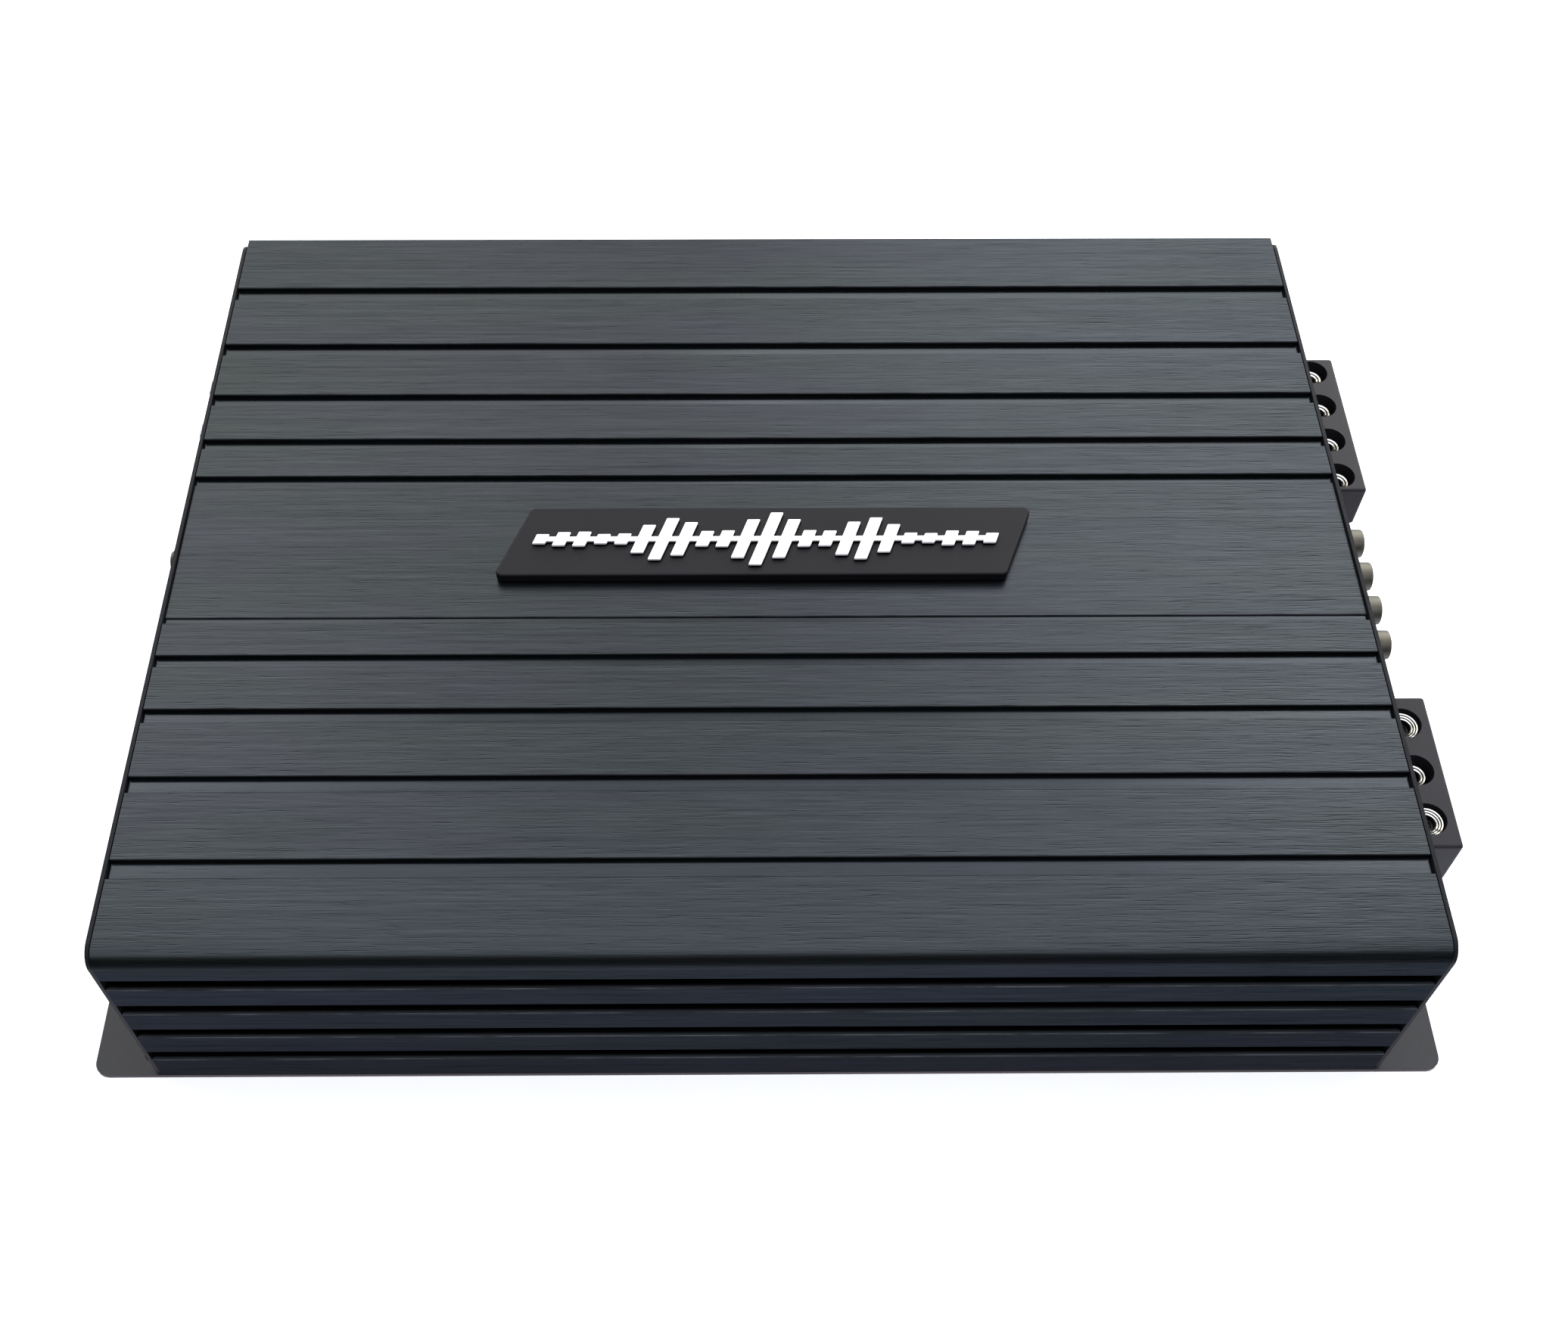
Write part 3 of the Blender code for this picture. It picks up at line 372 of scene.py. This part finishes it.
def printed_board(name):
    """Green solder resist with copper tracks showing faintly under it."""
    material, tree, shader = new_material(name)
    cells = tree.nodes.new("ShaderNodeTexBrick")
    feed(tree, cells, {"Vector": place_of(tree), "Scale": 90.0, "Mortar Size": 0.035, "Bias": -0.2})
    track = remap(tree, cells.outputs["Fac"], 0.4, 0.6)
    cloud = noise(tree, even(60), 2.0)
    resist = mixed(tree, cloud, (0.008, 0.075, 0.03), (0.012, 0.1, 0.04))
    feed(tree, shader, {
        "Base Color": mixed(tree, track, resist, (0.03, 0.2, 0.07)),
        "Roughness": remap(tree, cloud, 0.3, 0.7, 0.3, 0.42),
        "Coat Weight": 0.3,
        "Normal": bump(tree, track, 0.04 * MM, 0.5),
    })
    return material


# Mesh helpers

def mesh_object(name, shape):
    """An object holding a bmesh's shape, which is freed."""
    mesh = bpy.data.meshes.new(name)
    shape.to_mesh(mesh)
    shape.free()
    obj = bpy.data.objects.new(name, mesh)
    bpy.context.scene.collection.objects.link(obj)
    return obj


def bake(obj):
    """Replaces an object's mesh by its evaluated shape, with no modifier left."""
    bpy.context.view_layer.update()
    graph = bpy.context.evaluated_depsgraph_get()
    mesh = bpy.data.meshes.new_from_object(obj.evaluated_get(graph))
    obj.modifiers.clear()
    obj.data = mesh
    return obj


def combined(obj, tool, operation):
    """Adds tool to obj or cuts it away, and removes the tool."""
    change = obj.modifiers.new("change", "BOOLEAN")
    change.operation = operation
    change.object = tool
    bake(obj)
    bpy.data.objects.remove(tool, do_unlink=True)
    return obj


def soften(obj, width, segments=3, angle=30):
    """Rounds the edges that turn more than angle degrees, and shades the rest by its larger faces."""
    obj.data.shade_smooth()
    edge = obj.modifiers.new("edges", "BEVEL")
    edge.width = width
    edge.segments = segments
    edge.limit_method = "ANGLE"
    edge.angle_limit = math.radians(angle)
    edge.use_clamp_overlap = True
    normals = obj.modifiers.new("normals", "WEIGHTED_NORMAL")
    normals.keep_sharp = True
    return bake(obj)


def smooth(obj, angle=SMOOTH_ANGLE):
    obj.data.shade_smooth()
    obj.data.set_sharp_from_angle(angle=angle)
    return obj


def finish_piece(obj, body, material, slot, *nodes):
    """Gives a piece its material and sets it on its body in place of CAD nodes. The slot is not used."""
    obj.data.materials.clear()
    obj.data.materials.append(material)
    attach(obj, body)
    if nodes:
        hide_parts(*nodes)
    return obj


def cad_shape(node):
    """A CAD node's shape as a welded bmesh with its flat faces whole."""
    shape = bmesh.new()
    shape.from_mesh(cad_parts[node].data)
    bmesh.ops.remove_doubles(shape, verts=shape.verts, dist=WELD)
    flat = math.radians(0.6)
    bmesh.ops.dissolve_limit(shape, angle_limit=flat, verts=shape.verts, edges=shape.edges)
    bmesh.ops.recalc_face_normals(shape, faces=shape.faces)
    return shape


def refined(node, width, segments, material, slot, body=CHASSIS):
    """A CAD node's own shape with rounded edges, in its place."""
    obj = mesh_object(f"{node}_skin", cad_shape(node))
    soften(obj, width, segments)
    return finish_piece(obj, body, material, slot, node)


def axis_matrix(origin, direction):
    """Places a shape made about its own Z so that its Z points along direction from origin."""
    turn = Vector(direction).to_track_quat("Z", "Y").to_matrix().to_4x4()
    return Matrix.Translation(origin) @ turn


def turned(name, profile, matrix=Matrix.Identity(4), segments=48, closed=False):
    """A shape turned about Z from (radius, height) points, then placed by a matrix."""
    shape = bmesh.new()
    points = [shape.verts.new((radius, 0, height)) for radius, height in profile]
    edges = [shape.edges.new(pair) for pair in zip(points, points[1:])]
    if closed:
        edges.append(shape.edges.new((points[-1], points[0])))
    bmesh.ops.spin(
        shape, geom=points + edges, axis=(0, 0, 1), cent=(0, 0, 0), angle=2 * math.pi, steps=segments,
        use_merge=True,
    )
    bmesh.ops.remove_doubles(shape, verts=shape.verts, dist=WELD)
    bmesh.ops.recalc_face_normals(shape, faces=shape.faces)
    bmesh.ops.transform(shape, matrix=matrix, verts=shape.verts)
    return mesh_object(name, shape)


def block(name, size, centre, matrix=Matrix.Identity(4)):
    shape = bmesh.new()
    bmesh.ops.create_cube(shape, size=1)
    bmesh.ops.scale(shape, vec=size, verts=shape.verts)
    bmesh.ops.translate(shape, vec=centre, verts=shape.verts)
    bmesh.ops.transform(shape, matrix=matrix, verts=shape.verts)
    return mesh_object(name, shape)


def prism(name, radius, depth, matrix, sides=6):
    shape = bmesh.new()
    bmesh.ops.create_cone(shape, cap_ends=True, segments=sides, radius1=radius, radius2=radius, depth=depth)
    bmesh.ops.transform(shape, matrix=matrix, verts=shape.verts)
    return mesh_object(name, shape)


def join(name, *objects):
    """One object from several, each keeping its own faces."""
    shape = bmesh.new()
    for obj in objects:
        shape.from_mesh(obj.data)
    joined = mesh_object(name, shape)
    for obj in objects:
        bpy.data.objects.remove(obj, do_unlink=True)
    return joined


def centre_of(node):
    low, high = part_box(node)
    return (low + high) / 2


def nodes_named(prefix):
    return sorted(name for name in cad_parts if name.startswith(prefix))


# Casing

def section_width(points):
    """How wide a face is across X."""
    wide = max(p.y for p in points) - min(p.y for p in points)
    tall = max(p.z for p in points) - min(p.z for p in points)
    return math.hypot(wide, tall)


def make_heat_sink():
    """The extrusion, with a painted highlight on the edges to the front of each land, plainer and slightly lighter
    brushing (painted light) on the top groove floors, and darker brushing (painted shade) in the side grooves.
    """
    obj = smooth(mesh_object("heat_sink_extrusion", cad_shape("heat_sink")), math.radians(25))
    finish_piece(obj, CHASSIS, brushed_aluminium("anodised_brushed_aluminium"), "anodised_aluminium", "heat_sink")
    # The front-facing chamfers get a painted highlight.
    obj.data.materials.append(painted_edge_highlight("painted_edge_highlight"))
    # A slightly lighter copy with plainer brushing for the top groove floors: painted light.
    obj.data.materials.append(brushed_aluminium("lightened_groove_floor", 1.06, 0.5, 0.14))
    # A much darker copy of the brushed aluminium: painted shade in the side grooves.
    obj.data.materials.append(brushed_aluminium("side_groove_painted_shade", 0.3, 0.5, 0.2))
    _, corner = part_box("heat_sink")
    shallow, deep = SIDE_GROOVE_DEPTHS
    for face in obj.data.polygons:
        points = [obj.data.vertices[i].co for i in face.vertices]
        width, upward = section_width(points), face.normal.z > 0.99
        # Chamfers facing the front take the painted edge highlight.
        if width < CHAMFER_LIMIT and face.normal.y < -0.5:
            face.material_index = EDGE_HIGHLIGHT
        # Recessed faces of the side grooves take the painted shade.
        elif face.center.z < corner.z - SIDE_START:
            depth = corner.y - abs(face.center.y)
            face.material_index = SHADED_SIDE_GROOVE if shallow < depth < deep else BRUSHED
        # Top groove floors take the slightly lighter brushing, which is painted light.
        elif width < FLOOR_LIMIT and upward and points[0].z < corner.z - TOP_GROOVE_DEPTH:
            face.material_index = GROOVE_FLOOR


def make_plates():
    satin = coated_steel("black_powder_coat", (0.0165, 0.0168, 0.0185))
    refined("bottom_plate", 0.25 * MM, 2, satin, "black_sheet_steel")
    dull = coated_steel("dull_black_coat", (0.0085, 0.009, 0.0105), 0.5, 0.5, 0.08)
    for node in ("connector_end_plate", "control_end_plate"):
        refined(node, 0.2 * MM, 2, dull, "black_sheet_steel")


def make_casing_screws():
    steel = plated_metal("black_oxide_steel", (0.045, 0.045, 0.047), 0.3)
    for node in nodes_named("connector_plate_screw") + nodes_named("control_plate_screw"):
        refined(node, 0.12 * MM, 2, steel, "black_screw_steel")
    for node in nodes_named("bottom_screw"):
        refined(node, 0.1 * MM, 2, steel, "black_screw_steel")


# Connectors

def make_terminal_screw(node, metal, grime_and_painted_shade, rings, step):
    """A clamp screw with narrow rings that slope inwards on its top, a six-sided socket and a threaded shank. The ring
    valleys and the socket get a dark nickel that is partly grime and partly painted shade.
    """
    low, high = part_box(node)
    radius, length = (high.x - low.x) / 2, high.z - low.z
    centre = Vector(((low.x + high.x) / 2, (low.y + high.y) / 2, high.z))
    foot, rim = 0.75 * radius, 0.1 * MM
    hole = radius - rim - rings * step
    profile = [(0, -2 * MM), (0.9 * hole, -2 * MM), (hole, -RING_DROP * rings)]
    for ring in range(rings):
        start, crest = hole + step * ring, RING_DROP * (rings - 1 - ring)
        inner, outer = start + 0.46 * step, start + 0.94 * step
        profile += [(start, -crest - RING_DEPTH), (start + 0.4 * step, -crest - RING_DEPTH)]
        profile += [(inner, -crest - 0.5 * (outer - inner)), (outer, -crest)]
    profile += [(radius, -0.2 * MM)]
    thread, pitch = -2 * MM, 0.8 * MM
    turns = int((length + thread - 1 * MM) / pitch)
    for turn in range(turns):
        top = thread - turn * pitch
        profile += [(radius, top), (radius - 0.32 * MM, top - pitch / 2)]
    profile += [(radius, thread - turns * pitch), (foot, -length), (0, -length)]
    screw = turned(f"{node}_metal", profile, Matrix.Translation(centre), 64)
    socket = prism("socket", 0.42 * radius, 5 * MM, Matrix.Translation(centre))
    combined(screw, socket, "DIFFERENCE")
    smooth(screw, math.radians(25))
    finish_piece(screw, node, metal, "nickel", node)
    screw.data.materials.append(grime_and_painted_shade)
    # Ring valleys and the socket get the dark nickel: grime and painted shade.
    for face in screw.data.polygons:
        out = (face.center - centre).xy.length
        place = (out - hole) / step % 1
        if face.center.z > centre.z - 3 * MM and (out < hole or place < 0.45) and out < radius - rim:
            face.material_index = 1


def make_terminals():
    plastic = moulded_plastic("terminal_block_plastic", (0.0112, 0.0098, 0.0125), 0.5, 1500, 0.6, 0.18)
    nickel = plated_metal("bright_nickel", (0.6, 0.58, 0.52), 0.14)
    # Dark nickel for the ring valleys and sockets: grime and painted shade.
    grime_and_painted_shade = plated_metal("nickel_dirt_and_painted_shade", (0.03, 0.029, 0.026), 0.45)
    for node in ("speaker_terminal_block", "power_terminal_block"):
        refined(node, 0.4 * MM, 3, plastic, "black_plastic")
    for node in nodes_named("speaker_screw"):
        make_terminal_screw(node, nickel, grime_and_painted_shade, 2, 0.85 * MM)
    for node in ("battery_screw", "ground_screw"):
        make_terminal_screw(node, nickel, grime_and_painted_shade, 3, 0.62 * MM)
    make_terminal_screw("remote_screw", nickel, grime_and_painted_shade, 2, 0.7 * MM)


def make_jacks():
    """Signal jacks: a moulded base, metal shells and coloured insulators."""
    plastic = moulded_plastic("jack_base_plastic", (0.014, 0.014, 0.015), 0.48)
    metal = plated_metal("warm_nickel", (0.112, 0.105, 0.086), 0.46)
    white = moulded_plastic("white_insulator", (0.78, 0.77, 0.74), 0.35, 1200, 0.15, 0.5)
    red = moulded_plastic("red_insulator", (0.55, 0.02, 0.02), 0.35, 1200, 0.15, 0.5)
    refined("jack_base", 0.25 * MM, 3, plastic, "black_plastic")
    for number, node in enumerate(nodes_named("jack_shell")):
        low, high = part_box(node)
        centre = Vector((low.x, (low.y + high.y) / 2, (low.z + high.z) / 2))
        radius, length = (high.y - low.y) / 2, high.x - low.x
        inside, floor, lip = radius - 0.55 * MM, 1.2 * MM, 0.25 * MM
        profile = [
            (inside, floor),
            (inside, length - 0.5 * MM),
            (inside + 0.15 * MM, length - 0.1 * MM),
            (inside + 0.28 * MM, length),
            (radius - lip, length),
            (radius - 0.06 * MM, length - 0.12 * MM),
            (radius, length - 0.4 * MM),
            (radius, 3.2 * MM),
            (radius - 0.25 * MM, 3.0 * MM),
            (radius - 0.25 * MM, 2.5 * MM),
            (radius, 2.3 * MM),
            (radius, 0.1 * MM),
            (radius - 0.1 * MM, 0),
            (0, 0),
            (0, floor),
        ]
        place = axis_matrix(centre, (1, 0, 0))
        shell = smooth(turned(f"{node}_metal", profile, place, 56))
        finish_piece(shell, CHASSIS, metal, "nickel", node)
        collar, bore = inside - 0.25 * MM, 1.6 * MM
        top = length - 4.5 * MM
        rings = [
            (bore, floor + 0.2 * MM),
            (bore, top - 0.3 * MM),
            (bore + 0.3 * MM, top),
            (collar - 0.3 * MM, top),
            (collar, top - 0.3 * MM),
            (collar, floor + 0.2 * MM),
        ]
        insulator = smooth(turned(f"{node}_insulator", rings, place, 40, closed=True))
        colour = white if number % 2 == 0 else red
        finish_piece(insulator, CHASSIS, colour, "black_plastic")


# Fuses and controls

def make_fuses():
    """Blade fuses with a clear body, two blades and the element between them."""
    clear = clear_plastic("clear_fuse_plastic", (0.86, 0.9, 0.9), 0.1, 0.75)
    tin = plated_metal("tinned_blade", (0.62, 0.62, 0.6), 0.28)
    holder = moulded_plastic("fuse_holder_plastic", (0.013, 0.013, 0.014), 0.5)
    refined("fuse_holder", 0.3 * MM, 2, holder, "black_plastic")
    for node in ("fuse_1", "fuse_2"):
        low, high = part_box(node)
        middle = (low + high) / 2
        cap_end, back = low.x + FUSE_WEB, high.x - BLADE_LENGTH
        height, thickness = high.z - low.z, high.y - low.y
        cap = block(f"{node}_body", (FUSE_WEB, thickness, height), (low.x + FUSE_WEB / 2, middle.y, middle.z))
        overlap = 0.4 * MM
        core = block(
            "core",
            (back - cap_end + overlap, thickness - 1.2 * MM, height - 1.6 * MM),
            ((back + cap_end - overlap) / 2, middle.y, middle.z),
        )
        combined(cap, core, "UNION")
        soften(cap, 0.45 * MM, 3)
        finish_piece(cap, node, clear, "clear_fuse_plastic", node)
        reach, offset = high.x - low.x - 4 * MM, height / 2 - BLADE_INSET
        blades = [
            block("blade", (reach, BLADE_SHEET, BLADE_HEIGHT), (high.x - reach / 2, middle.y, middle.z + side * offset))
            for side in (-1, 1)
        ]
        element_size, element_x = (1.2 * MM, 0.3 * MM, 2 * offset), low.x + 5.5 * MM
        blades.append(block("element", element_size, (element_x, middle.y, middle.z)))
        metal = join(f"{node}_blades", *blades)
        soften(metal, 0.12 * MM, 2)
        finish_piece(metal, node, tin, "nickel")


def make_knob(node, plastic, paint):
    """A ribbed knob with a white pointer line; it turns about its CAD joint's axis."""
    low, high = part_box(node)
    centre = centre_of(node)
    origin = Vector((high.x, centre.y, centre.z))
    radius, whole = (high.y - low.y) / 2, high.x - low.x
    shaft_reach, shaft_radius, skirt = 7 * MM, 2 * MM, 0.8 * MM
    place = axis_matrix(origin, (-1, 0, 0))
    profile = [
        (0, whole - 0.25 * MM),
        (0.62 * radius, whole - 0.2 * MM),
        (0.68 * radius, whole),
        (0.8 * radius, whole),
        (0.88 * radius, whole - 0.5 * MM),
        (0.93 * radius, shaft_reach + skirt + 0.6 * MM),
        (radius, shaft_reach + skirt),
        (radius, shaft_reach),
        (shaft_radius, shaft_reach),
        (shaft_radius, 0),
        (0, 0),
    ]
    knob = turned(f"{node}_body", profile, place, 64)
    notches, length = [], whole - shaft_reach - skirt
    for i in range(KNOB_RIBS):
        angle = 2 * math.pi * i / KNOB_RIBS
        spot = Vector((math.cos(angle), math.sin(angle), 0)) * (0.97 * radius)
        spot.z = (whole + shaft_reach + skirt) / 2 + 0.8 * MM
        notches.append(prism("notch", RIB_RADIUS, length, place @ Matrix.Translation(spot), 8))
    combined(knob, join("notches", *notches), "DIFFERENCE")
    smooth(knob)
    finish_piece(knob, node, plastic, "black_plastic", node)
    line = block(
        f"{node}_pointer",
        (0.55 * radius, 0.55 * MM, 0.12 * MM),
        (0.36 * radius, 0, whole - 0.2 * MM),
        place,
    )
    soften(line, 0.03 * MM, 2)
    finish_piece(line, node, paint, "emblem_white")


def make_controls():
    plastic = moulded_plastic("knob_plastic", (0.012, 0.012, 0.013), 0.42, 2000, 0.4, 0.5)
    paint = moulded_plastic("pointer_paint", (0.8, 0.8, 0.8), 0.45, 900, 0.2)
    casing = moulded_plastic("potentiometer_blue", (0.06, 0.1, 0.3), 0.45)
    for control in ("gain", "low_pass", "subsonic", "bass_boost"):
        make_knob(f"{control}_knob", plastic, paint)
        refined(f"{control}_potentiometer", 0.3 * MM, 2, casing, "potentiometer_blue")
    refined("phase_switch_body", 0.2 * MM, 2, plastic, "black_plastic")
    refined("remote_jack", 0.25 * MM, 3, plastic, "black_plastic")
    refined("phase_switch_lever", 0.25 * MM, 3, plastic, "black_plastic", "phase_switch_lever")
    for node, (colour, slot) in LAMPS.items():
        low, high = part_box(node)
        spot = centre_of(node)
        spot.x = high.x
        radius, length, dome = (high.y - low.y) / 2, high.x - low.x, 1.5 * MM
        arc = [
            (dome * math.sin(a), length - dome + dome * math.cos(a))
            for a in (math.radians(10 * step) for step in range(10))
        ]
        profile = arc + [(dome, 2.4 * MM), (radius, 2.4 * MM), (radius, 0), (0, 0)]
        lens = smooth(turned(f"{node}_lens", profile, axis_matrix(spot, (-1, 0, 0)), 32))
        finish_piece(lens, CHASSIS, lens_plastic(f"{node}_plastic", colour), slot, node)


# Badge

def make_badge():
    black = badge_plastic("badge_black")
    white = moulded_plastic("emblem_white", (0.82, 0.82, 0.83), 0.4, 900, 0.12, 0.5)
    refined("badge_plate", 0.6 * MM, 4, black, "badge_black")
    refined("badge_emblem", 0.22 * MM, 3, white, "emblem_white")


# Inside

def make_inside():
    board = printed_board("green_board")
    refined("main_board", 0.15 * MM, 1, board, "board_green")
    refined("driver_card", 0.15 * MM, 1, board, "board_green")
    resin = moulded_plastic("transistor_resin", (0.014, 0.014, 0.014), 0.5)
    bare = plated_metal("raw_aluminium", (0.6, 0.6, 0.62), 0.3)
    for side in ("front", "rear"):
        refined(f"{side}_transistor_row", 0.25 * MM, 2, resin, "transistor_black")
        refined(f"{side}_clamp_bar", 0.3 * MM, 2, bare, "raw_aluminium")
    sleeve = moulded_plastic("capacitor_sleeve", (0.02, 0.022, 0.07), 0.28, 500, 0.1, 0.5)
    for node in nodes_named("supply_capacitor"):
        refined(node, 0.4 * MM, 3, sleeve, "capacitor_sleeve")
    copper = wound_copper("enamelled_copper")
    for node in ("supply_transformer", "output_inductor_1", "output_inductor_2"):
        make_winding(node, copper)


def make_winding(node, copper):
    """A toroid whose surface rises and falls with each turn of wire."""
    low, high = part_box(node)
    centre = (low + high) / 2
    outer, height = (high.x - low.x) / 2, high.z - low.z
    half = outer * (0.345 if node == "supply_transformer" else 0.34)
    ring = outer - half
    turns = int(2 * math.pi * (ring - 0.35 * half) / WIRE)
    around, section = turns * WIRE_STEPS, 20
    shape = bmesh.new()
    rows = []
    for i in range(around):
        angle = 2 * math.pi * i / around
        swell = WIRE_RELIEF * WIRE * (math.cos(2 * math.pi * i / WIRE_STEPS) - 1)
        row = []
        for k in range(section):
            turn = 2 * math.pi * k / section
            cos, sin = math.cos(turn), math.sin(turn)
            square = (abs(cos) ** 5 + abs(sin) ** 5) ** (-1 / 5)
            reach = ring + (half + swell) * square * cos
            level = (height / 2 + swell) * square * sin
            row.append(shape.verts.new((reach * math.cos(angle), reach * math.sin(angle), level)))
        rows.append(row)
    for i, row in enumerate(rows):
        after = rows[(i + 1) % around]
        for k in range(section):
            beyond = (k + 1) % section
            shape.faces.new((row[k], after[k], after[beyond], row[beyond]))
    bmesh.ops.recalc_face_normals(shape, faces=shape.faces)
    bmesh.ops.translate(shape, vec=centre, verts=shape.verts)
    winding = smooth(mesh_object(f"{node}_winding", shape), math.radians(80))
    finish_piece(winding, CHASSIS, copper, "copper_winding", node)


# Stage, light and camera

def make_floor():
    """A large pale floor. Its reflection in the casing dims at the casing's foot and ends a little way out."""
    shape = bmesh.new()
    bmesh.ops.create_grid(shape, x_segments=1, y_segments=1, size=FLOOR_SIZE / 2)
    bmesh.ops.translate(shape, vec=(0, 0, cad_low.z - 0.02 * MM), verts=shape.verts)
    floor = mesh_object("studio_floor", shape)
    material, tree, shader = new_material("pale_floor")
    path = tree.nodes.new("ShaderNodeLightPath").outputs
    x, y, _ = split_place(tree)
    paper = remap(tree, noise(tree, even(90), 3.0), 0.3, 0.7, 0.985, 1.0)
    out_x, out_y = calc(tree, "ABSOLUTE", x), calc(tree, "ABSOLUTE", y)
    far = calc(tree, "MAXIMUM", remap(tree, out_y, *GLOW_END_Y), remap(tree, out_x, *GLOW_END_X))
    _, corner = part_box("heat_sink")
    gap = calc(tree, "MAXIMUM", calc(tree, "SUBTRACT", out_y, corner.y), calc(tree, "SUBTRACT", out_x, corner.x))
    near = mixed(tree, remap(tree, gap, *GLOW_RISE), BASE_GLOW, NEAR_GLOW)
    distance = calc(tree, "SQRT", calc(tree, "MULTIPLY_ADD", x, x, calc(tree, "MULTIPLY", y, y)))
    white = tinted(tree, (1, 1, 1), remap(tree, distance, *HORIZON, FLOOR_GLOW, SEEN_WHITE))
    mirrored = path["Is Glossy Ray"]
    glow = mixed(tree, mirrored, white, mixed(tree, far, near, FAR_GLOW))
    feed(tree, shader, {
        "Base Color": tinted(tree, mixed(tree, mirrored, FLOOR_SHADE, MIRRORED_SHADE), paper),
        "Roughness": 0.8,
        "Specular IOR Level": 0.0,
        "Emission Color": glow,
        "Emission Strength": calc(tree, "MAXIMUM", mirrored, path["Is Camera Ray"]),
    })
    material.cycles.emission_sampling = "NONE"
    floor.data.materials.append(material)


def make_room():
    """A soft room, dimmer low on the camera's side, that the camera sees as plain white."""
    world = bpy.data.worlds.new("studio")
    bpy.context.scene.world = world
    world.use_nodes = True
    tree = world.node_tree
    direction = tree.nodes.new("ShaderNodeTexCoord").outputs["Generated"]
    towards = tree.nodes.new("ShaderNodeVectorMath")
    towards.operation = "DOT_PRODUCT"
    feed(tree, towards, {0: direction, 1: Vector(DARK_DIRECTION).normalized()})
    dark = remap(tree, towards.outputs["Value"], *DARK_FADE, ROOM_RADIANCE, DARK_RADIANCE)
    seen = tree.nodes.new("ShaderNodeLightPath").outputs["Is Camera Ray"]
    level = calc(tree, "MAXIMUM", dark, calc(tree, "MULTIPLY", seen, SEEN_WHITE))
    feed(tree, tree.nodes["Background"], {"Color": (1, 1, 1, 1), "Strength": level})


def make_light_panel(name, radiance, azimuth, elevation, size, colour):
    """A rectangular light that faces the amplifier."""
    light = bpy.data.lights.new(name, "AREA")
    light.color = colour
    light.shape = "RECTANGLE"
    light.size, light.size_y = size
    light.energy = radiance * math.pi * light.size * light.size_y
    a, e = math.radians(azimuth), math.radians(elevation)
    towards = Vector((math.sin(a) * math.cos(e), math.cos(a) * math.cos(e), math.sin(e)))
    across = Vector((math.cos(a), -math.sin(a), 0))
    obj = bpy.data.objects.new(name, light)
    turn = Matrix((across, towards.cross(across), towards)).transposed().to_4x4()
    obj.matrix_world = Matrix.Translation(towards * PANEL_DISTANCE) @ turn
    obj.visible_camera = False
    bpy.context.scene.collection.objects.link(obj)


def make_camera():
    camera = bpy.data.cameras.new("camera")
    camera.sensor_width, camera.lens, camera.shift_x = SENSOR_WIDTH, LENS, LENS_SHIFT
    pitch, yaw, roll = (math.radians(a) for a in (CAMERA_PITCH, CAMERA_YAW, CAMERA_ROLL))
    ahead = Vector((math.sin(yaw) * math.cos(pitch), math.cos(yaw) * math.cos(pitch), -math.sin(pitch)))
    right = Vector((math.cos(yaw), -math.sin(yaw), 0))
    down = ahead.cross(right)
    level = math.cos(roll) * right + math.sin(roll) * down
    upright = math.sin(roll) * right - math.cos(roll) * down
    turn = Matrix((level, upright, -ahead)).transposed().to_4x4()
    obj = bpy.data.objects.new("camera", camera)
    obj.matrix_world = Matrix.Translation(CAMERA_PLACE) @ turn
    bpy.context.scene.collection.objects.link(obj)
    bpy.context.scene.camera = obj


make_heat_sink()
make_plates()
make_casing_screws()
make_terminals()
make_jacks()
make_fuses()
make_controls()
make_badge()
make_inside()

make_floor()
make_room()
for panel, settings in LIGHT_PANELS.items():
    make_light_panel(panel, *settings)
make_camera()
bpy.context.scene.view_settings.view_transform = "Standard"
